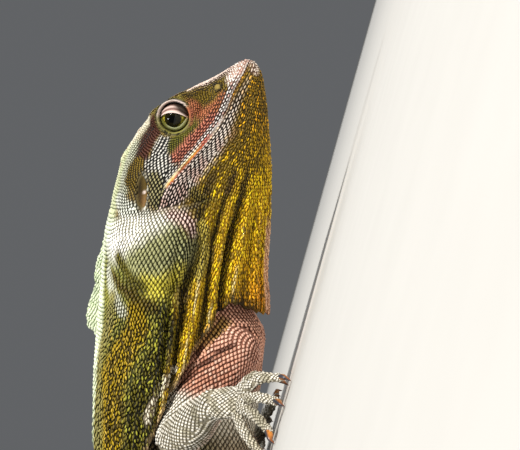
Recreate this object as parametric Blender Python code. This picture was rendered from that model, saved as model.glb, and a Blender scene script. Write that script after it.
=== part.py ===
# Frilled lizard, an adult at life size, crouched with its head raised and its neck arched.
# The nose points along +X, the back is up, and the belly rests on the floor at the origin.
# Sizes here are in millimetres, and every mesh is scaled to metres as it is made.

import math

import bmesh
import bpy
import numpy as np
from mathutils import Vector

MM = 0.001
GAP = 0.3  # clearance between neighbouring pieces

# Driving sizes
SNOUT_X = 182.2  # tip of the snout
SHOULDER_X = 78.0  # cut between neck and torso
HIP_X = -45.0  # cut between torso and hips
TAIL_X = -85.0  # cut between hips and tail
TAIL_CUTS = (-85.0, -170.0, -270.0, -380.0, -490.0, -596.0)  # lengths of the tail
TAIL_SWING = 0.45  # how far the tail's heading swings, radians
TAIL_WAVE = 460.0  # length of one swing
NECK_PLANE = (130.0, 54.0, -0.5)  # slanted cut behind the jaws: x at height z, and its slope
EYE = (158.3, 10.9, 58.7)
EYE_RADIUS = 4.3
LID_THICKNESS = 0.6
EAR = (132.2, 20.0, 61.4)
NOSTRIL = (171.4, 8.6, 48.2)
FRILL_THICKNESS = 1.5
RIM_THICKNESS = 0.9
PLEAT_DEPTH = 3.4
CAPE_FOLD = 0.32  # depth of the folds over the shoulders, as a share of a pleat
RIM_TOOTH = 1.3  # depth of the serration along the free edge

# Outline of the head and of the folded frill: x, top, bottom, half width, height of the lips
# or of the widest point, and how square the upper and lower halves of the section are.
OUTER = np.array([
    (182.2, 41.4, 39.8, 1.2, 40.6, 2.0, 2.0),
    (181.2, 43.3, 38.2, 3.0, 40.5, 2.0, 2.0),
    (178.5, 46.0, 35.7, 5.0, 40.5, 2.2, 2.0),
    (174.0, 50.4, 33.5, 7.4, 41.1, 2.3, 1.9),
    (168.0, 57.4, 31.0, 9.9, 41.9, 2.4, 1.8),
    (162.0, 63.6, 28.9, 12.8, 43.1, 2.5, 1.7),
    (155.0, 68.6, 26.4, 15.8, 45.8, 2.6, 1.6),
    (147.0, 71.8, 23.8, 18.0, 49.8, 2.6, 1.5),
    (139.0, 73.6, 21.6, 19.6, 52.6, 2.5, 1.5),
    (131.0, 73.6, 19.6, 20.6, 52.8, 2.3, 1.5),
    (123.0, 73.4, 17.9, 21.8, 51.6, 2.2, 1.5),
    (115.0, 73.2, 16.0, 23.4, 50.2, 2.1, 1.5),
    (105.0, 71.6, 12.6, 24.8, 48.6, 2.0, 1.5),
    (95.0, 70.2, 9.6, 25.2, 46.6, 2.0, 1.5),
    (80.0, 67.8, 7.5, 25.8, 44.0, 2.0, 1.6),
    (65.0, 65.0, 7.0, 27.2, 41.5, 2.0, 1.7),
    (50.0, 62.0, 6.0, 28.8, 39.0, 2.0, 1.8),
    (30.0, 57.5, 4.0, 29.8, 36.0, 2.0, 1.8),
])
# Neck under the frill, trunk and tail, in the same columns. Below -85 the first column is
# the distance along the curved tail.
CORE = np.array([
    (146.0, 69.6, 27.0, 15.2, 50.0, 2.3, 1.6),
    (130.0, 71.4, 23.6, 17.2, 50.5, 2.2, 1.7),
    (118.0, 70.8, 21.8, 17.2, 48.4, 2.1, 1.8),
    (105.0, 68.4, 19.2, 17.2, 45.4, 2.0, 1.8),
    (92.0, 65.0, 12.6, 18.0, 41.0, 2.0, 1.9),
    (80.0, 61.8, 9.6, 19.0, 37.0, 2.0, 2.0),
    (65.0, 58.0, 7.2, 20.8, 33.2, 2.0, 2.1),
    (45.0, 53.6, 4.6, 22.8, 29.2, 2.0, 2.2),
    (20.0, 49.0, -0.4, 24.8, 24.8, 2.0, 2.3),
    (0.0, 46.0, -0.9, 25.8, 22.5, 2.0, 2.3),
    (-25.0, 43.0, -0.8, 24.6, 20.5, 2.0, 2.3),
    (-45.0, 39.5, 0.2, 20.8, 19.5, 2.0, 2.2),
    (-62.0, 34.0, 0.9, 16.0, 17.0, 2.0, 2.1),
    (-85.0, 27.0, -0.2, 12.2, 13.6, 2.0, 2.0),
    (-110.0, 22.6, -0.3, 10.6, 11.2, 2.0, 2.0),
    (-150.0, 19.0, -0.3, 9.2, 9.4, 2.0, 2.0),
    (-220.0, 15.0, -0.3, 7.3, 7.4, 2.0, 2.0),
    (-300.0, 11.6, -0.3, 5.7, 5.7, 2.0, 2.0),
    (-400.0, 8.2, -0.3, 4.0, 4.0, 2.0, 2.0),
    (-500.0, 5.2, -0.3, 2.5, 2.5, 2.0, 2.0),
    (-560.0, 3.2, -0.25, 1.6, 1.5, 2.0, 2.0),
    (-590.0, 1.9, -0.2, 0.95, 0.85, 2.0, 2.0),
    (-600.0, 0.9, -0.1, 0.4, 0.4, 2.0, 2.0),
])
# Modelled swellings and hollows of the head and jowl, the same on both sides:
# start, end, radius and height. A hollow has a negative height.
STROKES = (
    ((169.0, 7.4, 55.8), (158.0, 11.6, 66.2), 2.6, 1.5),  # brow ridge, front
    ((158.0, 11.6, 66.2), (146.0, 12.6, 71.8), 2.8, 1.5),  # brow ridge, back
    ((179.0, 4.2, 45.6), (169.0, 7.4, 55.8), 2.0, 0.8),  # canthus
    ((168.5, 9.6, 49.6), (163.5, 12.0, 52.5), 3.6, -1.5),  # hollow before the eye
    ((158.3, 13.6, 58.7), (158.3, 13.6, 58.7), 6.0, 0.8),  # eye
    ((163.0, 0.0, 63.0), (147.0, 0.0, 73.0), 4.6, -1.1),  # dip between the brows
    ((147.0, 17.0, 64.0), (140.0, 18.0, 66.0), 4.0, -1.1),  # temple
    ((144.0, 18.6, 54.6), (136.0, 20.0, 53.4), 6.0, 1.1),  # jaw muscle
    ((131.0, 20.0, 62.0), (124.0, 20.0, 63.0), 4.5, -1.2),  # hollow behind the ear
    ((171.4, 8.6, 48.2), (171.4, 8.6, 48.2), 1.9, 0.7),  # swelling round the nostril
    ((176.0, 6.8, 39.0), (140.0, 19.6, 51.0), 1.7, 0.5),  # lower lip
    ((176.0, 6.6, 43.2), (140.0, 19.6, 56.0), 1.5, 0.35),  # upper lip
    ((119.0, 24.0, 51.0), (104.0, 25.0, 50.0), 11.0, 2.6),  # jowl
)
# Free edge of the folded frill: angle from the throat's midline at the root, and x there.
RIM = np.array([
    (0, 101.0), (18, 102.0), (33, 104.0), (41, 98.8), (49, 89.0), (57, 80.0), (66, 69.0),
    (75, 57.0), (88, 45.0), (106, 36.0), (140, 35.0), (165, 41.0), (180, 46.0),
])
FRILL_ANGLES = (2.0, 88.8, 176.0)  # throat's midline, end of the pleats, middle of the back
PLEAT_STEP = 12.4  # degrees from one pleat to the next
PLEAT_DRIFT = 11.0  # degrees that the pleats climb from the jaws to the free edge
LEFT_LIFT = (89.0, 152.0, 9.0)  # where the left side stands off the shoulder: x, angle, height
TRUNK_ROWS = 15  # rows of the trunk's mesh from belly to back

SKIN_COLOURS = {
    "head": (0.46, 0.36, 0.20),
    "lower_jaw": (0.55, 0.42, 0.12),
    "neck": (0.36, 0.33, 0.16),
    "frill": (0.42, 0.40, 0.14),
    "body": (0.40, 0.36, 0.25),
    "limb": (0.58, 0.42, 0.34),
    "tail": (0.38, 0.34, 0.26),
    "eye": (0.10, 0.09, 0.03),
}


def smooth_columns(table, at):
    """Values of the table's columns at these stations, on monotone cubic curves."""
    table = table[np.argsort(table[:, 0])]
    station, values = table[:, 0], table[:, 1:]
    step = np.diff(station)[:, None]
    rise = np.diff(values, axis=0) / step
    slope = np.empty_like(values)
    slope[0], slope[-1] = rise[0], rise[-1]
    same_way = rise[:-1] * rise[1:] > 0
    total = np.where(same_way, rise[:-1] + rise[1:], 1.0)
    slope[1:-1] = np.where(same_way, 2 * rise[:-1] * rise[1:] / total, 0.0)
    at = np.clip(np.asarray(at, float), station[0], station[-1])
    i = np.clip(np.searchsorted(station, at) - 1, 0, len(station) - 2)
    h = step[i, 0]
    t = ((at - station[i]) / h)[..., None]
    h = h[..., None]
    return (
        values[i] * (1 + 2 * t) * (1 - t) ** 2
        + slope[i] * h * t * (1 - t) ** 2
        + values[i + 1] * t**2 * (3 - 2 * t)
        + slope[i + 1] * h * t**2 * (t - 1)
    )


def axis_point(x):
    """Point and heading of the body's axis, straight as far as the tail, which swings."""
    steps = np.linspace(0.0, -TAIL_CUTS[-1] + TAIL_X + 5.0, 400)
    heading = TAIL_SWING * np.sin(2 * math.pi * steps / TAIL_WAVE) * np.clip(steps / 80.0, 0, 1)
    run = steps[1]
    along = np.concatenate([[0], np.cumsum(np.cos(heading[:-1]) * run)])
    across = np.concatenate([[0], np.cumsum(np.sin(heading[:-1]) * run)])
    back = np.clip(TAIL_X - x, 0.0, None)
    point_x = np.where(x > TAIL_X, x, TAIL_X - np.interp(back, steps, along))
    return point_x, np.interp(back, steps, across), np.interp(back, steps, heading)


def section_point(table, x, angle, side):
    """Point on the section at x, at an angle in degrees from the underside's midline.

    side is +1 for the left and -1 for the right. Each half is a superellipse.
    """
    top, bottom, width, widest, square_top, square_bottom = np.moveaxis(
        smooth_columns(table, x), -1, 0
    )
    angle = np.radians(angle)
    upper = np.cos(angle) < 0
    power = 2.0 / np.where(upper, square_top, square_bottom)
    half = np.where(upper, top - widest, bottom - widest)
    out = side * width * np.abs(np.sin(angle)) ** power
    z = widest + half * np.abs(np.cos(angle)) ** power
    point_x, point_y, heading = axis_point(x)
    return np.stack([point_x + np.sin(heading) * out, point_y + np.cos(heading) * out, z], -1)


def stroke_height(points):
    """Sum of the modelled swellings and hollows at these points."""
    mirrored = points * (1, 0, 1) + np.abs(points) * (0, 1, 0)
    height = np.zeros(points.shape[:-1])
    for start, end, radius, rise in STROKES:
        start, run = np.array(start), np.array(end) - start
        share = np.clip(((mirrored - start) @ run) / max(run @ run, 1e-9), 0, 1)
        distance = np.linalg.norm(mirrored - start - share[..., None] * run, axis=-1)
        height += rise * np.exp(-((distance / radius) ** 2))
    return height


def skin_point(table, x, angle, side, grow=0.0):
    """Point on the modelled skin, moved out along its normal by grow."""
    x, angle, side = np.broadcast_arrays(np.asarray(x, float), np.asarray(angle, float), side)
    point = section_point(table, x, angle, side)
    inside = np.clip(angle, 2.0, 178.0)
    around = section_point(table, x, inside + 2.0, side) - section_point(
        table, x, inside - 2.0, side
    )
    along = section_point(table, x + 1.0, angle, side) - section_point(
        table, x - 1.0, angle, side
    )
    normal = np.cross(along, around) * -side[..., None]
    normal /= np.linalg.norm(normal, axis=-1, keepdims=True)
    normal[..., 0] = np.clip(normal[..., 0], -0.9, 0.9)
    rise = grow + (stroke_height(point) if table is OUTER else 0.0)
    return point + normal * np.asarray(rise)[..., None]


def cut_x(z, behind):
    """x of the slanted cut behind the jaws at height z, or of the gap's other face."""
    plane_x, plane_z, slope = NECK_PLANE
    return plane_x + slope * (z - plane_z) - (GAP * math.hypot(1, slope) if behind else 0.0)


def neck_cut(table, angle, side, behind):
    """x at which each line of the skin meets the slanted cut."""
    x = np.full(np.shape(angle), NECK_PLANE[0])
    for _ in range(12):
        x = cut_x(skin_point(table, x, angle, side)[..., 2], behind)
    return x


def new_object(name, vertices, faces, kind):
    """Closed mesh object from points in millimetres, outward facing, smooth but for creases."""
    mesh = bpy.data.meshes.new(name)
    mesh.from_pydata([tuple(v) for v in np.asarray(vertices) * MM], [], faces)
    work = bmesh.new()
    work.from_mesh(mesh)
    bmesh.ops.remove_doubles(work, verts=work.verts, dist=1e-6)
    bmesh.ops.triangulate(work, faces=work.faces, quad_method="FIXED")
    bmesh.ops.recalc_face_normals(work, faces=work.faces)
    work.to_mesh(mesh)
    work.free()
    obj = bpy.data.objects.new(name, mesh)
    model.objects.link(obj)
    obj.data.materials.append(material(kind))
    mesh.shade_smooth()
    mesh.set_sharp_from_angle(angle=math.radians(50))
    return obj


def material(kind):
    """Skin or eye material, one for each kind of piece."""
    found = bpy.data.materials.get(kind)
    if found:
        return found
    made = bpy.data.materials.new(kind)
    made.use_nodes = True
    shader = made.node_tree.nodes["Principled BSDF"]
    shader.inputs["Base Color"].default_value = (*SKIN_COLOURS[kind], 1.0)
    shader.inputs["Roughness"].default_value = 0.1 if kind == "eye" else 0.6
    shader.inputs["Metallic"].default_value = 0.0
    return made


def loft(name, rings, kind):
    """Closed loft through rings of equal count, with a flat cap at each end."""
    count, around = len(rings), len(rings[0])
    faces = [
        (i * around + j, i * around + (j + 1) % around,
         (i + 1) * around + (j + 1) % around, (i + 1) * around + j)
        for i in range(count - 1)
        for j in range(around)
    ]
    faces.append(tuple(range(around))[::-1])
    faces.append(tuple((count - 1) * around + j for j in range(around)))
    return new_object(name, np.concatenate(rings), faces, kind)


def frill_reach(angle, share):
    """How strongly the throat's pleats and the cape's folds show at these angles."""
    throat = np.clip((84.0 - angle) / 12.0, 0.0, 1.0) * np.clip(share / 0.35, 0.0, 1.0)
    cape = np.clip((angle - 76.0) / 16.0, 0.0, 1.0) * np.clip((share - 0.45) / 0.4, 0.0, 1.0)
    return throat, CAPE_FOLD * cape


def under_frill(points, x, angle, side, grow):
    """Keeps the neck and shoulders clear of the folded frill that lies over them."""
    rim = smooth_columns(RIM, np.clip(angle, 0.0, 180.0))[..., 0]
    cover = np.clip((x - rim + 14.0) / 10.0, 0.0, 1.0)
    inset = PLEAT_DEPTH * sum(frill_reach(angle, 1.0)) + FRILL_THICKNESS + 2 * GAP
    limit = skin_point(OUTER, x, angle, side, grow - inset * cover)
    widest = smooth_columns(CORE, x)[..., 3]
    lower = np.maximum(points[..., 2], np.minimum(limit[..., 2], widest))
    upper = np.minimum(points[..., 2], np.maximum(limit[..., 2], widest))
    kept = np.where(angle < 90.0, lower, upper)
    points[..., 2] = np.where(cover > 0, kept, points[..., 2])
    out = np.minimum(np.abs(points[..., 1]), np.abs(limit[..., 1]))
    points[..., 1] = np.where(cover > 0, side * out, points[..., 1])
    return points


def trunk_rings(starts, stop, stations, angles, grow=0.0):
    """Rings of the neck, trunk or tail from each line's own start to one stop."""
    share = np.linspace(0.0, 1.0, stations)[:, None]
    both = np.concatenate([angles, angles[-2:0:-1]])[None, :]
    side = np.concatenate([-np.ones(len(angles)), np.ones(len(angles) - 2)])[None, :]
    x = starts + share * (stop - starts)
    x, both, side = np.broadcast_arrays(x, both, side)
    return list(under_frill(skin_point(CORE, x, both, side, grow), x, both, side, grow))


def neck_rings(grow=0.0):
    """Rings of the neck under the frill, from the slanted cut to the shoulders."""
    angles = np.linspace(0.0, 180.0, TRUNK_ROWS)
    both = np.concatenate([angles, angles[-2:0:-1]])
    starts = neck_cut(CORE, both, np.ones(len(both)), True)
    rings = trunk_rings(starts[None, :], SHOULDER_X + GAP, 8, angles, grow)
    rings[0][:, 0] = cut_x(rings[0][:, 2], True)
    return rings


def trunk_piece(name, start, stop, stations, kind):
    """A length of the trunk or tail, flat underneath where it rests on the floor."""
    rings = trunk_rings(start, stop, stations, np.linspace(0.0, 180.0, TRUNK_ROWS))
    for ring in rings:
        ring[:, 2] = np.maximum(ring[:, 2], 0.0)
    return loft(name, rings, kind)


def trunk_room():
    """Neck, trunk and hips, larger all round by twice the gap."""
    angles = np.linspace(0.0, 180.0, TRUNK_ROWS)
    grow = 2 * GAP
    rings = neck_rings(grow)[:-1]
    rings += trunk_rings(SHOULDER_X, HIP_X, 14, angles, grow)[:-1]
    rings += trunk_rings(HIP_X - GAP, TAIL_X, 5, angles, grow)
    return loft("trunk_room", rings, "body")


def half_head(name, angles, lip_shift, kind):
    """The skull above the mouth line, or the jaw and throat below it, back to the cut."""
    both = np.concatenate([angles, angles[::-1]])
    side = np.concatenate([-np.ones(len(angles)), np.ones(len(angles))])
    if lip_shift < 0:  # the jaw's line starts at the throat's midline, which both sides share
        both, side = both[:-1], side[:-1]
    else:
        both, side = np.delete(both, len(angles)), np.delete(side, len(angles))
    starts = neck_cut(OUTER, both, side, False)
    share = np.linspace(0.0, 1.0, 22)[:, None]
    share = 1.0 - (1.0 - share) ** 1.25
    points = skin_point(OUTER, starts + share * (SNOUT_X - starts), both[None, :], side[None, :])
    points[..., 2] += lip_shift
    points[0, :, 0] = cut_x(points[0, :, 2], False)
    return loft(name, list(points), kind)


def merged_copy(obj):
    """The object's mesh with its modifiers applied."""
    graph = bpy.context.evaluated_depsgraph_get()
    old = obj.data
    new = bpy.data.meshes.new_from_object(obj.evaluated_get(graph))
    obj.modifiers.clear()
    obj.data = new
    bpy.data.meshes.remove(old)


def combine(obj, others, operation):
    """One Boolean with all the others at once, applied; the others are removed."""
    group = bpy.data.collections.new("operands")
    bpy.context.scene.collection.children.link(group)
    for other in others:
        for home in list(other.users_collection):
            home.objects.unlink(other)
        group.objects.link(other)
    step = obj.modifiers.new("combine", "BOOLEAN")
    step.operand_type = "COLLECTION"
    step.collection = group
    step.operation = operation
    step.solver = "EXACT"
    bpy.context.view_layer.update()
    merged_copy(obj)
    for other in others:
        bpy.data.objects.remove(other)
    bpy.data.collections.remove(group)
    keep_largest(obj)


def keep_largest(obj):
    """Drops every closed surface of the object but its largest."""
    work = bmesh.new()
    work.from_mesh(obj.data)
    bmesh.ops.remove_doubles(work, verts=work.verts, dist=1e-7)
    bmesh.ops.triangulate(work, faces=work.faces)
    left, groups = set(work.verts), []
    while left:
        stack, found = [left.pop()], []
        while stack:
            vertex = stack.pop()
            found.append(vertex)
            for edge in vertex.link_edges:
                other = edge.other_vert(vertex)
                if other in left:
                    left.remove(other)
                    stack.append(other)
        groups.append(found)
    groups.sort(key=len, reverse=True)
    for group in groups[1:]:
        bmesh.ops.delete(work, geom=group, context="VERTS")
    work.to_mesh(obj.data)
    work.free()
    obj.data.shade_smooth()
    obj.data.set_sharp_from_angle(angle=math.radians(50))


def primitive(add, name, centre, scale=(1.0, 1.0, 1.0), turn=(0.0, 0.0, 0.0), **sizes):
    """A Blender primitive at a place in millimetres, with its turn and scale applied."""
    add(location=Vector(centre) * MM, rotation=turn, **sizes)
    obj = bpy.context.object
    obj.name = name
    obj.scale = scale
    bpy.ops.object.transform_apply(location=True, rotation=True, scale=True)
    return obj


def mirrored(point, side):
    """The point, given for the left, on this side."""
    return (point[0], side * point[1], point[2])


def ball(name, centre, radius, segments=16, rings=10, scale=(1.0, 1.0, 1.0), turn=(0, 0, 0)):
    """A sphere or, scaled, an ellipsoid."""
    return primitive(
        bpy.ops.mesh.primitive_uv_sphere_add, name, centre, scale, turn,
        radius=radius * MM, segments=segments, ring_count=rings,
    )


def head():
    """Skull with lids, orbit rings, ear cups and nostrils."""
    angles = np.concatenate([[90.0, 94.0], np.linspace(99.0, 180.0, 14)])
    skull = half_head("head", angles, GAP / 2, "head")
    added, taken = [], []
    for side in (-1, 1):
        eye = mirrored(EYE, side)
        facing = (math.radians(90), 0.0, side * math.radians(-8))
        added.append(ball("lids", eye, EYE_RADIUS + GAP + LID_THICKNESS))
        ring = (eye[0] + 0.4, eye[1] + side * 2.6, eye[2])
        added.append(primitive(
            bpy.ops.mesh.primitive_torus_add, "orbit", ring, turn=facing,
            major_radius=4.7 * MM, minor_radius=0.75 * MM, major_segments=20, minor_segments=6,
        ))
        taken.append(ball("eye_room", eye, EYE_RADIUS + GAP))
        slit = (eye[0] - 1.1, eye[1] + side * 4.6, eye[2] - 0.3)
        taken.append(ball(
            "lid_opening", slit, 1.0, 16, 8, (2.7, 3.4, 4.0), (0.0, math.radians(-12), 0.0)
        ))
        nostril = mirrored(NOSTRIL, side)
        taken.append(ball("nostril", (nostril[0], nostril[1] + side * 0.9, nostril[2]), 0.9, 10, 6))
        ear = mirrored(EAR, side)
        taken.append(ball("ear", ear, 1.0, 16, 8, (4.9, 2.4, 2.2), (0.0, math.radians(4), 0.0)))
    combine(skull, added, "UNION")
    combine(skull, taken, "DIFFERENCE")
    return skull


def eye(name, side):
    """Eyeball in its socket behind the lids."""
    obj = ball(name, mirrored(EYE, side), EYE_RADIUS, 16, 8)
    obj.data.materials.append(material("eye"))
    obj.data.shade_smooth()
    for home in list(obj.users_collection):
        home.objects.unlink(obj)
    model.objects.link(obj)


def pleat_drop(root, share):
    """How far the frill dips between the crests of its pleats, from its angle at the root."""
    phase = (root - FRILL_ANGLES[0]) / PLEAT_STEP % 1.0
    valley = np.abs(2.0 * phase - 1.0) ** 1.3
    throat, cape = frill_reach(root, share)
    return PLEAT_DEPTH * (throat * valley + cape * (0.5 + 0.5 * np.cos(2 * math.pi * phase)))


def frill(name, side):
    """One side of the folded frill, a pleated sheet from the jaws back over the shoulder."""
    first, last_pleat, last = FRILL_ANGLES
    root = np.concatenate([
        np.arange(first, last_pleat + 0.1, PLEAT_STEP / 4),
        np.linspace(last_pleat, last, 16)[1:],
    ])
    columns, rows = len(root), 9
    share = np.linspace(0.0, 1.0, rows)[:, None]
    angle = root + share * PLEAT_DRIFT * np.sin(math.pi * np.clip(root / 110.0, 0.0, 1.0))
    angle = angle - (root / last) ** 6 * 22.0 * share**2
    start = neck_cut(OUTER, root, side * np.ones(columns), True)
    tooth = RIM_TOOTH * (np.arange(columns) % 2)
    rim = smooth_columns(RIM, root)[..., 0] + tooth
    x = start + share * (rim - start)
    drop = pleat_drop(root, share)
    if side > 0:
        at_x, at_angle, lift = LEFT_LIFT
        drop = drop - lift * np.exp(-(((x - at_x) / 19.0) ** 2) - ((angle - at_angle) / 26.0) ** 2)
    thick = FRILL_THICKNESS + (RIM_THICKNESS - FRILL_THICKNESS) * share
    outer = skin_point(OUTER, x, angle, side, -drop)
    inner = skin_point(OUTER, x, angle, side, -drop - thick)
    for sheet in (outer, inner):  # meet the cut, and keep the two sides apart on the midline
        sheet[0, :, 0] = cut_x(sheet[0, :, 2], True)
        sheet[..., 1] = side * np.maximum(side * sheet[..., 1], GAP)
    vertices = np.concatenate([outer.reshape(-1, 3), inner.reshape(-1, 3)])
    half, faces = rows * columns, []
    for i in range(rows - 1):
        for j in range(columns - 1):
            a = i * columns + j
            b, c, d = a + 1, a + columns + 1, a + columns
            faces += [(a, b, c), (a, c, d), (a + half, c + half, b + half),
                      (a + half, d + half, c + half)]
    edge = list(range(columns))
    edge += [i * columns + columns - 1 for i in range(1, rows)]
    edge += [(rows - 1) * columns + j for j in range(columns - 2, -1, -1)]
    edge += [i * columns for i in range(rows - 2, 0, -1)]
    for k, a in enumerate(edge):
        b = edge[(k + 1) % len(edge)]
        faces += [(a, a + half, b), (b, a + half, b + half)]
    return new_object(name, vertices, faces, "frill")


def sweep(name, points, widths, heights, kind, up=(0.0, 0.0, 1.0), sides=12, rings=8):
    """A tapered length along a smooth path, its section an ellipse, with rounded ends."""
    points = np.array(points, float)
    reach = np.concatenate([[0], np.cumsum(np.linalg.norm(np.diff(points, axis=0), axis=1))])
    table = np.column_stack([reach, points, widths, heights])
    first, last = min(widths[0], heights[0]), min(widths[-1], heights[-1])
    at = np.linspace(0.0, reach[-1], rings)
    values = smooth_columns(table, at)
    centre, wide, high = values[:, :3], values[:, 3], values[:, 4]
    tangent = np.gradient(centre, at, axis=0)
    tangent /= np.linalg.norm(tangent, axis=1, keepdims=True)
    ends = ((0.92, 0.45), (0.6, 0.85))  # size and reach of the rings that round an end
    front = [(centre[0] - tangent[0] * first * out, tangent[0], wide[0] * size, high[0] * size)
             for size, out in reversed(ends)]
    back = [(centre[-1] + tangent[-1] * last * out, tangent[-1], wide[-1] * size, high[-1] * size)
            for size, out in ends]
    angle = np.linspace(0.0, 2 * math.pi, sides, endpoint=False)[:, None]
    made = []
    for middle, ahead, w, h in front + list(zip(centre, tangent, wide, high)) + back:
        across = np.cross(ahead, up)
        across /= np.linalg.norm(across)
        upward = np.cross(across, ahead)
        made.append(middle + across * w * np.cos(angle) + upward * h * np.sin(angle))
    return loft(name, made, kind)


def set_on_floor(obj):
    """Flattens what reaches below the floor."""
    for vertex in obj.data.vertices:
        vertex.co.z = max(vertex.co.z, 0.0)


def foot(name, root, knuckles, digits, size, kind="limb"):
    """Palm or sole with its toes, each ending in a claw, fused into one piece."""
    root, knuckles = np.array(root, float), np.array(knuckles, float)
    palm = sweep(
        name, [root, root * 0.45 + knuckles * 0.55, knuckles],
        (size * 1.05, size * 1.35, size * 1.3), (size, size * 0.85, size * 0.7), kind, rings=5,
    )
    toes = []
    for i, points in enumerate(digits):
        widths = [size * share for share in (0.48, 0.44, 0.40, 0.36, 0.06)]
        start = np.array(points[0]) * 0.65 + knuckles * 0.35
        path = [start, *[np.array(p, float) for p in points[1:]]]
        middle = (path[0] + path[1]) / 2 + (0, 0, 0.6)
        path = [path[0], middle, *path[1:]]
        toes.append(sweep(f"toe{i}", path, widths, widths, kind, sides=6, rings=6))
    combine(palm, toes, "UNION")
    return palm


def cut_root(obj, grown):
    """Takes the trunk's own room out of a limb's root."""
    combine(obj, grown, "DIFFERENCE")


# Limbs, from the photograph on the right front and from the species elsewhere. Each has its
# joints, the radii there, and its toes from knuckle to claw tip.
FORE = {
    "right": {
        "joints": ((88.0, -9.5, 21.0), (58.0, -26.5, 30.0), (79.0, -43.5, 21.0)),
        "knuckles": (83.5, -48.0, 14.0),
        "digits": (
            ((86.5, -45.5, 14.5), (92.0, -46.5, 11.0), (93.6, -47.5, 4.5), (92.8, -48.5, 0.3)),
            ((86.0, -47.5, 13.5), (93.0, -50.5, 9.0), (96.0, -53.0, 2.6), (96.2, -55.0, 0.1)),
            ((84.5, -50.0, 12.5), (89.0, -56.5, 8.0), (91.0, -62.0, 1.9), (91.2, -65.5, 0.0)),
            ((82.5, -51.0, 12.5), (84.0, -58.5, 8.0), (82.0, -64.5, 1.9), (80.2, -67.8, 0.0)),
            ((80.0, -49.5, 13.5), (76.5, -55.0, 9.0), (72.5, -59.0, 2.4), (70.0, -60.6, 0.1)),
        ),
    },
    "left": {
        "joints": ((88.0, 9.5, 21.0), (55.0, 29.0, 23.5), (39.0, 46.0, 8.5)),
        "knuckles": (43.5, 54.0, 3.8),
        "digits": (
            ((46.5, 52.5, 3.6), (51.5, 53.0, 3.0), (55.0, 55.0, 1.9), (57.0, 57.2, 0.2)),
            ((46.5, 54.5, 3.6), (51.5, 58.5, 3.4), (55.0, 63.5, 1.9), (56.4, 66.8, 0.2)),
            ((45.5, 56.5, 3.6), (48.5, 63.5, 3.6), (50.5, 70.5, 1.9), (51.0, 74.2, 0.2)),
            ((43.5, 57.5, 3.6), (43.0, 65.0, 3.6), (41.5, 72.5, 1.9), (40.2, 76.0, 0.2)),
            ((41.0, 56.5, 3.6), (36.5, 61.5, 3.2), (32.5, 66.0, 1.9), (30.6, 68.8, 0.2)),
        ),
    },
}
HIND = {
    "right": {
        "joints": ((-52.0, -12.0, 18.0), (-20.0, -46.0, 28.0), (-60.0, -68.0, 7.0)),
        "knuckles": (-38.0, -78.0, 3.6),
        "digits": (
            ((-35.0, -74.0, 3.4), (-30.0, -69.5, 3.0), (-25.5, -66.5, 1.9), (-22.2, -65.0, 0.2)),
            ((-34.0, -76.0, 3.4), (-25.0, -74.5, 3.6), (-17.5, -73.5, 1.9), (-13.8, -73.4, 0.2)),
            ((-33.5, -78.5, 3.4), (-22.0, -80.5, 3.8), (-11.0, -82.0, 1.9), (-7.2, -82.8, 0.2)),
            ((-34.0, -80.5, 3.4), (-21.5, -87.0, 3.8), (-8.5, -93.0, 1.9), (-5.0, -95.0, 0.2)),
            ((-38.0, -81.5, 3.4), (-35.0, -90.0, 3.2), (-31.0, -97.0, 1.9), (-28.8, -100.2, 0.2)),
        ),
    },
    "left": {
        "joints": ((-52.0, 12.0, 18.0), (-26.0, 49.0, 25.0), (-70.0, 63.0, 7.0)),
        "knuckles": (-49.5, 75.5, 3.6),
        "digits": (
            ((-46.0, 72.5, 3.4), (-40.5, 69.0, 3.0), (-35.5, 67.0, 1.9), (-32.0, 66.2, 0.2)),
            ((-45.5, 74.5, 3.4), (-36.5, 74.5, 3.6), (-29.0, 75.0, 1.9), (-25.4, 75.6, 0.2)),
            ((-45.5, 77.0, 3.4), (-34.5, 81.0, 3.8), (-24.0, 84.5, 1.9), (-20.4, 86.0, 0.2)),
            ((-46.5, 78.5, 3.4), (-35.5, 87.5, 3.8), (-24.5, 96.0, 1.9), (-21.6, 98.6, 0.2)),
            ((-50.0, 79.0, 3.4), (-49.0, 88.0, 3.2), (-47.0, 95.5, 1.9), (-46.0, 99.2, 0.2)),
        ),
    },
}
FORE_RADII = ((9.0, 8.2, 7.0), (6.6, 6.8, 4.6))
HIND_RADII = ((12.0, 11.0, 8.4), (7.8, 7.6, 4.6))
FOOT_SIZE = {"hand": 4.0, "foot": 4.4}


def limb(names, side, spec, radii, foot_size):
    """Upper limb cut to fit the trunk, lower limb cut to fit that, and the foot."""
    upper_name, lower_name, foot_name = (f"{name}_{side}" for name in names)
    root, bend, end = (np.array(p, float) for p in spec["joints"])
    (r0, r1, r2), (s0, s1, s2) = radii

    def upper(name, grow=0.0):
        widths = (r0 + grow, r1 + grow, r2 + grow)
        return sweep(name, [root, (root + bend) / 2, bend], widths, widths, "limb", sides=14)

    def lower(name, grow=0.0):
        widths = (s0 + grow, s1 + grow, s2 + grow)
        return sweep(name, [bend, bend * 0.65 + end * 0.35, end], widths, widths, "limb", sides=12)

    top = upper(upper_name)
    cut_root(top, [trunk_room()])
    middle = lower(lower_name)
    cut_root(middle, [upper("room", GAP), trunk_room()])
    tip = foot(foot_name, end, spec["knuckles"], spec["digits"], foot_size)
    cut_root(tip, [lower("room", GAP)])
    for obj in (top, middle, tip):
        set_on_floor(obj)


for old in list(bpy.data.objects):
    bpy.data.objects.remove(old)
model = bpy.data.collections.new("frilled_lizard")
bpy.context.scene.collection.children.link(model)

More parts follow.
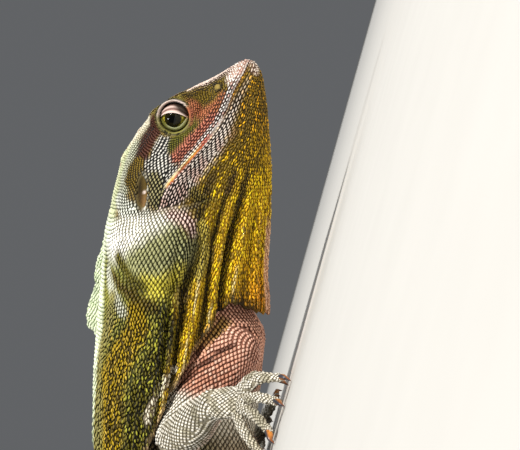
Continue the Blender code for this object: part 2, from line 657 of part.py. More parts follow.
head()
half_head("lower_jaw", np.concatenate([np.linspace(0.0, 82.0, 13), [86.5, 90.0]])[::-1], -GAP / 2,
          "lower_jaw")
eye("eye_right", -1)
eye("eye_left", 1)
loft("neck", neck_rings(), "neck")
frill("frill_right", -1)
frill("frill_left", 1)
trunk_piece("torso", SHOULDER_X, HIP_X, 14, "body")
trunk_piece("hips", HIP_X - GAP, TAIL_X, 5, "body")
for number, (near, far) in enumerate(zip(TAIL_CUTS, TAIL_CUTS[1:])):
    trunk_piece(f"tail_{number + 1}", near - GAP, far, 9, "tail")
for hand_side in ("right", "left"):
    limb(("upper_arm", "forearm", "hand"), hand_side, FORE[hand_side], FORE_RADII,
         FOOT_SIZE["hand"])
    limb(("thigh", "shin", "foot"), hand_side, HIND[hand_side], HIND_RADII, FOOT_SIZE["foot"])
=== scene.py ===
# The looks of a life-size frilled lizard: one scaly hide, its eyes, lids and claws.
import math

import bpy
import numpy as np
from mathutils import Matrix


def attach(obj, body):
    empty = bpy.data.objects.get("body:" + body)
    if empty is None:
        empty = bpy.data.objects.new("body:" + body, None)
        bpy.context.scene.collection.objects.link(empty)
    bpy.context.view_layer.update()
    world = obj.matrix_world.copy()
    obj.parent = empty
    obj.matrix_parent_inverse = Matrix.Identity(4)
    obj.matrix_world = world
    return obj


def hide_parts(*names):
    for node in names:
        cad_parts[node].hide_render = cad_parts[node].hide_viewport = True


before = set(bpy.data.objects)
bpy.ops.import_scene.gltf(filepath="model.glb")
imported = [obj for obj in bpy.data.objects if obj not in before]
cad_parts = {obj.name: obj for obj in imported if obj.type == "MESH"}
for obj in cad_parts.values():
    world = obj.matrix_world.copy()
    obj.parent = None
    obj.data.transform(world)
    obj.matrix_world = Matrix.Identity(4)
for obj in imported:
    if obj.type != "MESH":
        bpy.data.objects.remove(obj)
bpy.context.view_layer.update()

rng = np.random.default_rng(11)
mm = 0.001

# ---- numbers and colours ----


def srgb(hexText):
    # each channel c in 0..1 becomes c/12.92 when dark, else ((c + 0.055) / 1.055) ** 2.4
    c = np.array([int(hexText[i:i + 2], 16) / 255 for i in (1, 3, 5)])
    return np.where(c <= 0.04045, c / 12.92, ((c + 0.055) / 1.055) ** 2.4)


def mix(a, b, share):
    # a where share is 0 and b where it is 1; a hex colour may stand for either
    a, b = (srgb(c) if isinstance(c, str) else c for c in (a, b))
    return a + (b - a) * np.asarray(share)[..., None]


def mixBoth(tone, scale, gap, share):
    # tone is the pair of colours, of the scales and of the gaps between them
    return mix(tone[0], scale, share), mix(tone[1], gap, share)


def smoothTable(table, at):
    # monotone cubic through the table's rows; the first column is the station
    table = table[np.argsort(table[:, 0])]
    station, values = table[:, 0], table[:, 1:]
    step = np.diff(station)[:, None]
    rise = np.diff(values, axis=0) / step
    slope = np.empty_like(values)
    slope[0], slope[-1] = rise[0], rise[-1]
    sameWay = rise[:-1] * rise[1:] > 0
    total = np.where(sameWay, rise[:-1] + rise[1:], 1)
    slope[1:-1] = np.where(sameWay, 2 * rise[:-1] * rise[1:] / total, 0)
    at = np.clip(np.asarray(at, float), station[0], station[-1])
    i = np.clip(np.searchsorted(station, at) - 1, 0, len(station) - 2)
    h = step[i, 0]
    t = ((at - station[i]) / h)[..., None]
    h = h[..., None]
    return (values[i] * (1 + 2 * t) * (1 - t) ** 2 + slope[i] * h * t * (1 - t) ** 2
            + values[i + 1] * t**2 * (3 - 2 * t) + slope[i + 1] * h * t**2 * (t - 1))


def ramp(x, low, high):
    # 0 below low, 1 above high, smooth between: 3t^2 - 2t^3
    t = np.clip((x - low) / (high - low), 0, 1)
    return t * t * (3 - 2 * t)


def band(x, start, full, fade, end):
    # 1 between full and fade, 0 outside start and end
    return ramp(x, start, full) * (1 - ramp(x, fade, end))


def bell(x, wide, power=2):
    # exp(-(x / wide)^power): 1 at x = 0, falling to both sides
    return np.exp(-(x / wide) ** power)


def unit(v):
    return v / np.maximum(np.linalg.norm(v, axis=-1, keepdims=True), 1e-12)


def ripple(p, size):
    # soft noise in -1..1 from five crossed sine waves, about size millimetres from crest to crest
    ways = np.array([(1, 0.3, -0.5), (-0.4, 1.1, 0.6), (0.7, -0.8, 0.9), (0.2, 0.9, -1.2),
                     (-1.1, 0.1, 0.7)])
    waves = p @ (ways.T * (2 * math.pi / size)) + np.array([0.3, 1.9, 4.1, 2.7, 5.2])
    return np.sin(waves + 0.8 * np.sin(np.roll(waves, 1, axis=-1) * 0.7)).mean(axis=-1) * 1.6


def flatRipple(x, y, size):
    return ripple(np.stack([x, y, x * 0], -1), size)


def mirrorY(p):
    return np.stack([p[..., 0], np.abs(p[..., 1]), p[..., 2]], -1)


def nearLine(line, q):
    # distance to a line of points, and how far along it the nearest place is, from 0 to 1
    line = np.array(line, float)
    near, place = np.full(q.shape[:-1], 1e3), np.zeros(q.shape[:-1])
    for i, (start, end) in enumerate(zip(line, line[1:])):
        run = end - start
        share = np.clip(((q - start) @ run) / max(run @ run, 1e-9), 0, 1)
        d = np.linalg.norm(q - start - share[..., None] * run, axis=-1)
        place = np.where(d < near, (i + share) / (len(line) - 1), place)
        near = np.minimum(near, d)
    return near, place


# ---- the animal's form, in millimetres ----

# ends of snout, trunk and tail, the tail's swing, the slanted plane behind the jaws, and how far the
# skin is sunk below the tables' outer form, to leave room for the scales
body = {"snoutX": 182.2, "tailX": -85, "tailEnd": -596, "swing": 0.45, "wave": 460,
        "neckX": 130, "neckZ": 54, "neckSlope": -0.5, "sunk": 0.25}
# outer form of head and folded frill: x, top, bottom, half width, height of the lips, squareness
hideTable = np.array([
    (182.2, 41.4, 39.8, 1.2, 40.6, 2, 2), (181.2, 43.3, 38.2, 3, 40.5, 2, 2),
    (178.5, 46, 35.7, 5, 40.5, 2.2, 2), (174, 50.4, 33.5, 7.4, 41.1, 2.3, 1.9),
    (168, 57.4, 31, 9.9, 41.9, 2.4, 1.8), (162, 63.6, 28.9, 12.8, 43.1, 2.5, 1.7),
    (155, 68.6, 26.4, 15.8, 45.8, 2.6, 1.6), (147, 71.8, 23.8, 18, 49.8, 2.6, 1.5),
    (139, 73.6, 21.6, 19.6, 52.6, 2.5, 1.5), (131, 73.6, 19.6, 20.6, 52.8, 2.3, 1.5),
    (123, 73.4, 17.9, 21.8, 51.6, 2.2, 1.5), (115, 73.2, 16, 23.4, 50.2, 2.1, 1.5),
    (105, 71.6, 12.6, 24.8, 48.6, 2, 1.5), (95, 70.2, 9.6, 25.2, 46.6, 2, 1.5),
    (80, 67.8, 7.5, 25.8, 44, 2, 1.6), (65, 65, 7, 27.2, 41.5, 2, 1.7), (50, 62, 6, 28.8, 39, 2, 1.8),
    (30, 57.5, 4, 29.8, 36, 2, 1.8),
])
# neck under the frill, trunk and tail, in the same columns
coreTable = np.array([
    (146, 69.6, 27, 15.2, 50, 2.3, 1.6), (130, 71.4, 23.6, 17.2, 50.5, 2.2, 1.7),
    (118, 70.8, 21.8, 17.2, 48.4, 2.1, 1.8), (105, 68.4, 19.2, 17.2, 45.4, 2, 1.8),
    (92, 65, 12.6, 18, 41, 2, 1.9), (80, 61.8, 9.6, 19, 37, 2, 2), (65, 58, 7.2, 20.8, 33.2, 2, 2.1),
    (45, 53.6, 4.6, 22.8, 29.2, 2, 2.2), (20, 49, -0.4, 24.8, 24.8, 2, 2.3),
    (0, 46, -0.9, 25.8, 22.5, 2, 2.3), (-25, 43, -0.8, 24.6, 20.5, 2, 2.3),
    (-45, 39.5, 0.2, 20.8, 19.5, 2, 2.2), (-62, 34, 0.9, 16, 17, 2, 2.1), (-85, 27, -0.2, 12.2, 13.6, 2, 2),
    (-110, 22.6, -0.3, 10.6, 11.2, 2, 2), (-150, 19, -0.3, 9.2, 9.4, 2, 2),
    (-220, 15, -0.3, 7.3, 7.4, 2, 2), (-300, 11.6, -0.3, 5.7, 5.7, 2, 2), (-400, 8.2, -0.3, 4, 4, 2, 2),
    (-500, 5.2, -0.3, 2.5, 2.5, 2, 2), (-560, 3.2, -0.25, 1.6, 1.5, 2, 2),
    (-590, 1.9, -0.2, 0.95, 0.85, 2, 2), (-600, 0.9, -0.1, 0.4, 0.4, 2, 2),
])
# swellings and hollows, the same on both sides: start, end, radius, height
strokes = (
    ((169, 7.4, 55.8), (158, 11.6, 66.2), 2.6, 1.5), ((158, 11.6, 66.2), (146, 12.6, 71.8), 2.8, 1.5),
    ((179, 4.2, 45.6), (169, 7.4, 55.8), 2, 0.8), ((168.5, 9.6, 49.6), (163.5, 12, 52.5), 3.6, -1.5),
    ((158.3, 13.6, 58.7), (158.3, 13.6, 58.7), 6, 0.8), ((163, 0, 63), (147, 0, 73), 4.6, -1.1),
    ((147, 17, 64), (140, 18, 66), 4, -1.1), ((144, 18.6, 54.6), (136, 20, 53.4), 6, 1.1),
    ((131, 20, 62), (124, 20, 63), 4.5, -1.2), ((171.4, 8.6, 48.2), (171.4, 8.6, 48.2), 1.9, 0.7),
    ((176, 6.8, 39), (140, 19.6, 51), 1.7, 0.5), ((176, 6.6, 43.2), (140, 19.6, 56), 1.5, 0.35),
    ((119, 24, 51), (104, 25, 50), 11, 2.6), ((117, 24, 50), (112, 24, 54), 8, 1.6),
    ((135, 18.6, 42), (131.6, 21.5, 52), 2.2, -1), ((131.6, 21.5, 52), (127.5, 19.5, 60.5), 2.2, -1),
    ((106, 21.5, 61.5), (102.6, 26, 53), 3.2, -1.7), ((102.6, 26, 53), (106, 24.6, 43), 3.4, -1.7),
    ((106, 24.6, 43), (124, 17.5, 37.5), 2.6, -1.5),
)
# x and z of the mouth's line
lipLine = np.array([
    (182.2, 40.6), (178.5, 41), (171.3, 42.5), (167.2, 42.9), (162.1, 43.7), (156.8, 45.4), (150.1, 48.5),
    (143.4, 51.8), (137.2, 54.6), (131, 55.6), (100, 56),
])
frillForm = {
    "rim": np.array([(0, 101), (18, 102), (33, 104), (41, 98.8), (49, 89), (57, 80), (66, 69), (75, 57),
                     (88, 45), (106, 36), (140, 35), (165, 41), (180, 46)]),
    "lastAngle": 176, "pleatStep": 12.4, "pleatDepth": 3.4, "drift": 11, "capeFold": 0.32,
    "thick": 1.5, "rimThick": 0.9, "tooth": 1.04, "toothTurn": 3.1,
    # depth of the throat's pleats over the angle
    "deep": ((0, 18, 30, 40, 47, 58, 70, 84), (0.2, 0.28, 0.5, 1.05, 0.75, 1.1, 0.95, 0.7)),
    # the left side stands up off the shoulder: middle x and angle, reach in both, height
    "lift": (89, 152, 19, 26, 9),
    # and hangs in two lobes: (x, millimetres added to its lift)
    "lobes": np.array([(62, 0), (74.6, -0.4), (76.7, -0.1), (77.7, 1.4), (80.5, 1), (83.1, 0.6),
                       (85.8, -0.3), (88.4, -2), (91.1, -2.4), (93.8, -2.9), (94.7, -1.5), (96.5, -1.2),
                       (101.7, 0), (112, 0)]),
}
eyeForm = {
    "at": (158.3, 10.9, 58.7), "radius": 4.3, "out": (0.12, 0.985, 0.05), "up": (0.92, 0, 0.39),
    # height of the hide over the distance from the eye's axis
    "orbit": ((0, 4.4, 4.75, 5, 5.25, 5.55, 5.9, 6.25, 6.6, 7.4, 8.6, 10),
              (-0.8, 0, 1.6, 3, 3.6, 3.5, 2.75, 2.8, 2.35, 1.7, 0.2, -2.4)),
}
ear = {"at": (132.9, 18.4, 62.4), "along": (7.5, -0.5, 2), "out": (0, 0.92, 0.39), "half": 5.2,
       "wide": 1.95, "deep": 1.5}
nostril = {"at": (171.2, 7.7, 48.3), "swell": 1.3, "pit": 0.45, "pitAt": (170.85, 7.8, 48.6)}


def tailAxis(x):
    # the axis is straight as far as the tail, whose heading swings as a sine of its length
    steps = np.linspace(0, body["tailX"] - body["tailEnd"] + 5, 400)
    heading = body["swing"] * np.sin(2 * math.pi * steps / body["wave"]) * np.clip(steps / 80, 0, 1)
    along, across = (np.concatenate([[0], np.cumsum(part(heading[:-1]) * steps[1])])
                     for part in (np.cos, np.sin))
    back = np.clip(body["tailX"] - x, 0, None)
    pointX = np.where(x > body["tailX"], x, body["tailX"] - np.interp(back, steps, along))
    return pointX, np.interp(back, steps, across), np.interp(back, steps, heading)


def sectionPoint(table, x, a):
    # a is the angle round from the throat's midline in degrees, + left and - right; each half of
    # the section is a superellipse: y = w sin^p, z = zc + h cos^p
    top, bottom, width, lips, squareTop, squareBottom = np.moveaxis(smoothTable(table, x), -1, 0)
    side, turn = np.where(a < 0, -1, 1), np.radians(np.abs(a))
    upper = np.cos(turn) < 0
    power = 2 / np.where(upper, squareTop, squareBottom)
    half = np.where(upper, top - lips, bottom - lips)
    out = side * width * np.abs(np.sin(turn)) ** power
    z = lips + half * np.abs(np.cos(turn)) ** power
    px, py, heading = tailAxis(x)
    return np.stack([px + np.sin(heading) * out, py + np.cos(heading) * out, z], -1)


def strokeHeight(p):
    # sum of height * exp(-(distance / radius)^2) over the strokes
    q = mirrorY(p)
    return sum(rise * bell(nearLine((start, end), q)[0], radius) for start, end, radius, rise in strokes)


def hidePlain(table, x, a, grow=0):
    # the section's point, moved along its normal by the strokes and by grow
    x, a = np.broadcast_arrays(np.asarray(x, float), np.asarray(a, float))
    side = np.where(a < 0, -1, 1)
    p = sectionPoint(table, x, a)
    inside = np.clip(np.abs(a), 2, 178)
    around = sectionPoint(table, x, side * (inside + 2)) - sectionPoint(table, x, side * (inside - 2))
    along = sectionPoint(table, x + 1, a) - sectionPoint(table, x - 1, a)
    normal = unit(np.cross(along, around) * -side[..., None])
    normal[..., 0] = np.clip(normal[..., 0], -0.9, 0.9)
    rise = grow + (strokeHeight(p) if table is hideTable else 0)
    return p + normal * np.asarray(rise)[..., None], normal


def aboveLip(p):
    # height above the mouth's line
    return p[..., 2] - smoothTable(lipLine, np.minimum(p[..., 0], 182))[..., 0]


rootAngles = np.linspace(0, 180, 91)
rootX = np.full(91, float(body["neckX"]))
for _ in range(12):  # where each line of the hide meets the slanted plane behind the jaws
    rootZ = hidePlain(hideTable, rootX, rootAngles)[0][:, 2]
    rootX = body["neckX"] + body["neckSlope"] * (rootZ - body["neckZ"])


def eyeFrame(side):
    # centre, then the eye's own right, up and outward directions, for the left (+1) or right (-1)
    flip = np.array([1, side, 1])
    out = unit(np.array(eyeForm["out"])) * flip
    up = np.array(eyeForm["up"]) * flip
    up = unit(up - out * (up @ out))
    return np.array(eyeForm["at"]) * flip, unit(np.cross(up, out)) * -side, up, out


def eyePlace(p, side):
    # place across, over and outwards in the eye's own frame, distance from its axis, and whether the
    # point is on its side
    centre, right, up, out = eyeFrame(side)
    rel = p - centre
    across, over = rel @ right, rel @ up
    return across, over, rel @ out, np.hypot(across, over), p[..., 1] * side > 0


def eyeSocket(p):
    # within the orbit the hide follows a ring-shaped profile of height over distance from the eye's
    # axis, and outside it blends into the head by a smooth maximum
    for side in (-1, 1):
        _, _, c, r, sameSide = eyePlace(p, side)
        profile = np.interp(r, *eyeForm["orbit"])
        blend = 0.5 * (c + profile + np.sqrt((c - profile) ** 2 + 0.25))
        blend = c + (blend - c) * (1 - ramp(r, 8, 10.5))
        inner = 1 - ramp(r, 5.2, 5.7)
        target = inner * profile + (1 - inner) * blend
        near = (r < 11) & (c > -5) & sameSide
        p = np.where(near[..., None], p + (target - c)[..., None] * eyeFrame(side)[3], p)
    return p


def earShape(q):
    # elliptical distance from the middle of the ear, the height across it and the place along it
    along = unit(np.array(ear["along"]))
    across = unit(np.cross(along, np.array(ear["out"])))
    rel = q - np.array(ear["at"])
    s, over = rel @ along, rel @ across
    away = 9 * ramp(np.abs(rel[..., 1]), 8, 9)
    return np.hypot(s / ear["half"], over / ear["wide"]) + away, over * np.sign(across[2]), s


def headDetail(p, x, a):
    # heights along the normal: mouth groove, lips, fold at the mouth's corner, ear and nostril
    q, root, d = mirrorY(p), np.abs(a), p[..., 2] - smoothTable(lipLine, x)[..., 0]
    side = band(root, 40, 62, 120, 138)
    mouth, corner = side * ramp(x, 148, 154), side * band(x, 136, 138.5, 150, 157)
    h = mouth * (-0.75 * bell(d, 0.32) + 0.3 * bell(d - 1.2, 0.7) + 0.28 * bell(d + 1.2, 0.7))
    h = h + corner * (0.6 * bell(d - 0.1, 0.45) - 0.45 * bell(d + 0.85, 0.35))
    e, over, _ = earShape(q)
    h = h - ear["deep"] * np.sqrt(np.clip(1 - e**2, 0, 1)) * (1 - 0.3 * ramp(over, 0, 1.6))
    h = h + 0.4 * bell(e - 1.16, 0.12) * (1 - ramp(over, -0.8, 1.2))
    n, pit = (np.linalg.norm(q - np.array(nostril[key]), axis=-1) for key in ("at", "pitAt"))
    h = h + 0.6 * bell(n, nostril["swell"], 4) - 0.8 * bell(pit, nostril["pit"], 4)
    # a knobbly crest along the crown and nape
    return h + 0.3 * np.abs(ripple(p, 9)) * ramp(root, 150, 172) * (1 - ramp(x, 150, 165))


def pleatDip(root, share):
    # depth below the crests: |2 phase - 1| ^ 1.3 in each pleat of the throat, a cosine on the cape;
    # some pleats are shallower, and finer folds run along all of them
    bend = 1.6 * np.sin(root * 0.23 + share * 3.1) * np.clip(share * 3, 0, 1)
    phase = (root + bend - 2) / frillForm["pleatStep"] % 1
    throat = np.clip((84 - root) / 12, 0, 1) * np.clip(share / 0.35, 0, 1)
    cape = frillForm["capeFold"] * np.clip((root - 76) / 16, 0, 1) * np.clip((share - 0.45) / 0.4, 0, 1)
    deep = np.interp(root, *frillForm["deep"]) * np.abs(2 * phase - 1) ** 1.3
    fine = 0.09 * (1 + np.sin(root * 1.9 + 4 * np.sin(root * 0.31) + 2.2 * share))
    swing = 0.5 + 0.5 * np.cos(2 * math.pi * phase)
    return frillForm["pleatDepth"] * (throat * (deep + fine) + cape * swing)


def frillPoint(a, v, inward=0):
    # v runs from 1 at the jaws to 2 at the free edge, and lines of equal angle drift backwards as they
    # go; the hide's point less the pleats' dip, with the left side lifted off the shoulder
    root, share = np.abs(a), v - 1
    turn = root + share * frillForm["drift"] * np.sin(math.pi * np.clip(root / 110, 0, 1))
    turn = (turn - (root / frillForm["lastAngle"]) ** 6 * 22 * share**2) * np.where(a < 0, -1, 1)
    start = np.interp(root, rootAngles, rootX)
    tooth = frillForm["tooth"] * np.abs(np.sin(root / frillForm["toothTurn"] * math.pi / 2))
    x = start + share * (smoothTable(frillForm["rim"], root)[..., 0] + tooth - start)
    liftX, liftTurn, reachX, reachTurn, lift = frillForm["lift"]
    window = bell(turn - liftTurn, reachTurn) * (1 - ramp(root, 166, 176))
    raised = lift * bell(x - liftX, reachX) * (1 + 0.12 * flatRipple(x, turn * 0.8, 13))
    raised = raised + smoothTable(frillForm["lobes"], x)[..., 0] + 0.3 * flatRipple(x, turn * 0.35, 3.4)
    folds = 0.35 * flatRipple(x * 0.35, turn * 0.8, 22) * ramp(share, 0.1, 0.5) * ramp(root, 70, 95)
    thick = frillForm["thick"] + (frillForm["rimThick"] - frillForm["thick"]) * share
    grow = raised * window - pleatDip(root, share) + folds - inward * thick - body["sunk"]
    return hidePlain(hideTable, x, turn, grow)[0]


def headPoint(a, v):
    # v runs from 0 at the snout to 1 at the slanted plane behind the jaws
    x = body["snoutX"] + (np.interp(np.abs(a), rootAngles, rootX) - body["snoutX"]) * v
    p, normal = hidePlain(hideTable, x, a, -body["sunk"])
    return eyeSocket(p + normal * (headDetail(p, x, a) * ramp(1 - v, 0, 0.04))[..., None])


def hidePoint(a, v):
    # head for v up to 1, folded frill beyond; a is kept off the back's midline on the frill
    a, v = np.broadcast_arrays(np.asarray(a, float), np.asarray(v, float))
    reach = np.clip(a, -frillForm["lastAngle"], frillForm["lastAngle"])
    return np.where((v > 1)[..., None], frillPoint(reach, np.maximum(v, 1)), headPoint(a, np.minimum(v, 1)))


# each limb: joints, knuckles, and toes from knuckle to claw tip
limbs = {
    "fore_right": {"joints": ((88, -9.5, 21), (58, -26.5, 30), (79, -43.5, 21)),
        "knuckles": (83.5, -48, 14), "digits": (
        ((86.5, -45.5, 14.5), (92, -46.5, 11), (93.6, -47.5, 4.5), (92.8, -48.5, 0.3)),
        ((86, -47.5, 13.5), (93, -50.5, 9), (96, -53, 2.6), (96.2, -55, 0.1)),
        ((84.5, -50, 12.5), (89, -56.5, 8), (91, -62, 1.9), (91.2, -65.5, 0)),
        ((82.5, -51, 12.5), (84, -58.5, 8), (82, -64.5, 1.9), (80.2, -67.8, 0)),
        ((80, -49.5, 13.5), (76.5, -55, 9), (72.5, -59, 2.4), (70, -60.6, 0.1)),
    )},
    "fore_left": {"joints": ((88, 9.5, 21), (55, 29, 23.5), (39, 46, 8.5)),
        "knuckles": (43.5, 54, 3.8), "digits": (
        ((46.5, 52.5, 3.6), (51.5, 53, 3), (55, 55, 1.9), (57, 57.2, 0.2)),
        ((46.5, 54.5, 3.6), (51.5, 58.5, 3.4), (55, 63.5, 1.9), (56.4, 66.8, 0.2)),
        ((45.5, 56.5, 3.6), (48.5, 63.5, 3.6), (50.5, 70.5, 1.9), (51, 74.2, 0.2)),
        ((43.5, 57.5, 3.6), (43, 65, 3.6), (41.5, 72.5, 1.9), (40.2, 76, 0.2)),
        ((41, 56.5, 3.6), (36.5, 61.5, 3.2), (32.5, 66, 1.9), (30.6, 68.8, 0.2)),
    )},
    "hind_right": {"joints": ((-52, -12, 18), (-20, -46, 28), (-60, -68, 7)),
        "knuckles": (-38, -78, 3.6), "digits": (
        ((-35, -74, 3.4), (-30, -69.5, 3), (-25.5, -66.5, 1.9), (-22.2, -65, 0.2)),
        ((-34, -76, 3.4), (-25, -74.5, 3.6), (-17.5, -73.5, 1.9), (-13.8, -73.4, 0.2)),
        ((-33.5, -78.5, 3.4), (-22, -80.5, 3.8), (-11, -82, 1.9), (-7.2, -82.8, 0.2)),
        ((-34, -80.5, 3.4), (-21.5, -87, 3.8), (-8.5, -93, 1.9), (-5, -95, 0.2)),
        ((-38, -81.5, 3.4), (-35, -90, 3.2), (-31, -97, 1.9), (-28.8, -100.2, 0.2)),
    )},
    "hind_left": {"joints": ((-52, 12, 18), (-26, 49, 25), (-70, 63, 7)),
        "knuckles": (-49.5, 75.5, 3.6), "digits": (
        ((-46, 72.5, 3.4), (-40.5, 69, 3), (-35.5, 67, 1.9), (-32, 66.2, 0.2)),
        ((-45.5, 74.5, 3.4), (-36.5, 74.5, 3.6), (-29, 75, 1.9), (-25.4, 75.6, 0.2)),
        ((-45.5, 77, 3.4), (-34.5, 81, 3.8), (-24, 84.5, 1.9), (-20.4, 86, 0.2)),
        ((-46.5, 78.5, 3.4), (-35.5, 87.5, 3.8), (-24.5, 96, 1.9), (-21.6, 98.6, 0.2)),
        ((-50, 79, 3.4), (-49, 88, 3.2), (-47, 95.5, 1.9), (-46, 99.2, 0.2)),
    )},
}
# widths at the joints of the upper and lower length, and the size of the foot
limbSizes = {"fore": {"upper": (9, 8.2, 7), "lower": (6.6, 6.8, 4.6), "foot": 4},
             "hind": {"upper": (12, 11, 8.4), "lower": (7.8, 7.6, 4.6), "foot": 4.4}}


def tube(points, wide, high, roundEnds=(True, True)):
    # a tapered tube along a smooth path: v in 0..1 along it, u in degrees round it
    points = np.array(points, float)
    reach = np.concatenate([[0], np.cumsum(np.linalg.norm(np.diff(points, axis=0), axis=1))])
    table = np.column_stack([reach, points, wide, high])
    first = min(wide[0], high[0]) * 0.9 if roundEnds[0] else 0
    last = min(wide[-1], high[-1]) * 0.9 if roundEnds[1] else 0
    length = reach[-1]

    def at(u, v):
        s = -first + v * (length + first + last)
        inner = np.clip(s, 0, length)
        values = smoothTable(table, inner)
        ahead = unit(smoothTable(table, np.clip(inner + 0.4, 0, length))[..., :3]
                     - smoothTable(table, np.clip(inner - 0.4, 0, length))[..., :3])
        beyond = s - inner
        cap = np.where(beyond < 0, -beyond / max(first, 1e-6), beyond / max(last, 1e-6))
        shrink = np.sqrt(np.clip(1 - np.clip(cap, 0, 1) ** 2, 0, 1))
        across = unit(np.cross(ahead, np.array((0, 0, 1))))
        turn = np.radians(u)
        return (values[..., :3] + ahead * beyond[..., None]
                + across * (values[..., 3] * shrink * np.cos(turn))[..., None]
                + np.cross(across, ahead) * (values[..., 4] * shrink * np.sin(turn))[..., None])

    at.balls = smoothTable(table, np.linspace(0, length, 24))
    return at


def limbTubes(name):
    # upper length, lower length, palm or sole, then the toes up to their claws
    spec, sizes = limbs[name], limbSizes[name[:4]]
    root, bend, end = (np.array(p) for p in spec["joints"])
    knuckles, size = np.array(spec["knuckles"]), sizes["foot"]
    parts = {"upper": tube([root, (root + bend) / 2, bend], sizes["upper"], sizes["upper"]),
             "lower": tube([bend, bend * 0.65 + end * 0.35, end], sizes["lower"], sizes["lower"]),
             "palm": tube([end, end * 0.45 + knuckles * 0.55, knuckles],
                          (size * 1.05, size * 1.35, size * 1.3), (size, size * 0.85, size * 0.7))}
    for i, digit in enumerate(spec["digits"]):
        knuckle, middle, last, tip = (np.array(p, float) for p in digit)
        start = knuckle * 0.65 + knuckles * 0.35
        wide = [size * k for k in (0.48, 0.43, 0.40, 0.31)]
        parts[f"toe{i}"] = tube([start, (start + middle) / 2 + (0, 0, 0.6), middle, last], wide, wide)
        bow = (last + tip) / 2 + unit(last - middle) * 0.9 + (0, 0, 1.3)
        path = [last * 0.72 + middle * 0.28, last * 0.75 + bow * 0.25 + (0, 0, 0.35), bow, tip]
        parts[f"claw{i}"] = tube(path, [size * k for k in (0.2, 0.24, 0.16, 0.02)],
                                 [size * k for k in (0.26, 0.3, 0.2, 0.02)], (False, True))
    return parts


limbParts = {name: limbTubes(name) for name in limbs}


def insideBalls(p, balls):
    # signed distance to the balls strung along a tube
    return np.minimum.reduce([np.linalg.norm(p - ball[:3], axis=-1) - min(ball[3:]) for ball in balls])


def insideTrunk(p):
    # about the distance outside the trunk's superelliptic section
    columns = np.moveaxis(smoothTable(coreTable, p[..., 0]), -1, 0)
    top, bottom, width, lips, squareTop, squareBottom = columns
    upper = p[..., 2] > lips
    half, power = np.where(upper, top - lips, lips - bottom), np.where(upper, squareTop, squareBottom)
    q = (np.abs(p[..., 1] / width) ** power + np.abs((p[..., 2] - lips) / half) ** power) ** (1 / power)
    far = (p[..., 0] < -95) | (p[..., 0] > 140)
    return np.where(far, 50, (q - 1) * np.minimum(width, half))


def trunkPoint(a, x):
    # the neck, trunk and tail, swollen a little where the limbs join them
    a, x = np.broadcast_arrays(np.asarray(a, float), np.asarray(x, float))
    p, normal = hidePlain(coreTable, x, a, -body["sunk"])
    p = p - normal * (2.2 * ramp(x, 96, 108))[..., None]  # the neck keeps clear of the frill over it
    swell = 0.25 * ripple(p * (0.6, 1, 1), 26)
    for name in limbs:
        near = insideBalls(p, limbParts[name]["upper"].balls[:14])
        swell = swell + 1.5 * np.clip(1 - np.abs(near) / 6, 0, 1) ** 2
    return p + normal * swell[..., None]


def limbPoint(tubeAt, kind):
    # a limb's surface, sunk by the scales' depth, with soft muscle swellings
    def at(u, v):
        u, v = np.broadcast_arrays(np.asarray(u, float), np.asarray(v, float))
        p = tubeAt(u, v)
        out = unit(p - tubeAt(u + 180, v))
        grow = -body["sunk"] * 0.8 + (0.35 * ripple(p, 17) if kind != "toe" else 0.12 * np.sin(v * 38))
        if kind == "upper":
            grow = grow + 1.3 * np.clip(1 - np.abs(insideTrunk(p)) / 5, 0, 1) ** 2
        return p + out * np.asarray(grow)[..., None]
    return at


# ---- markings: lines on the hide with a radius, the same on both sides ----

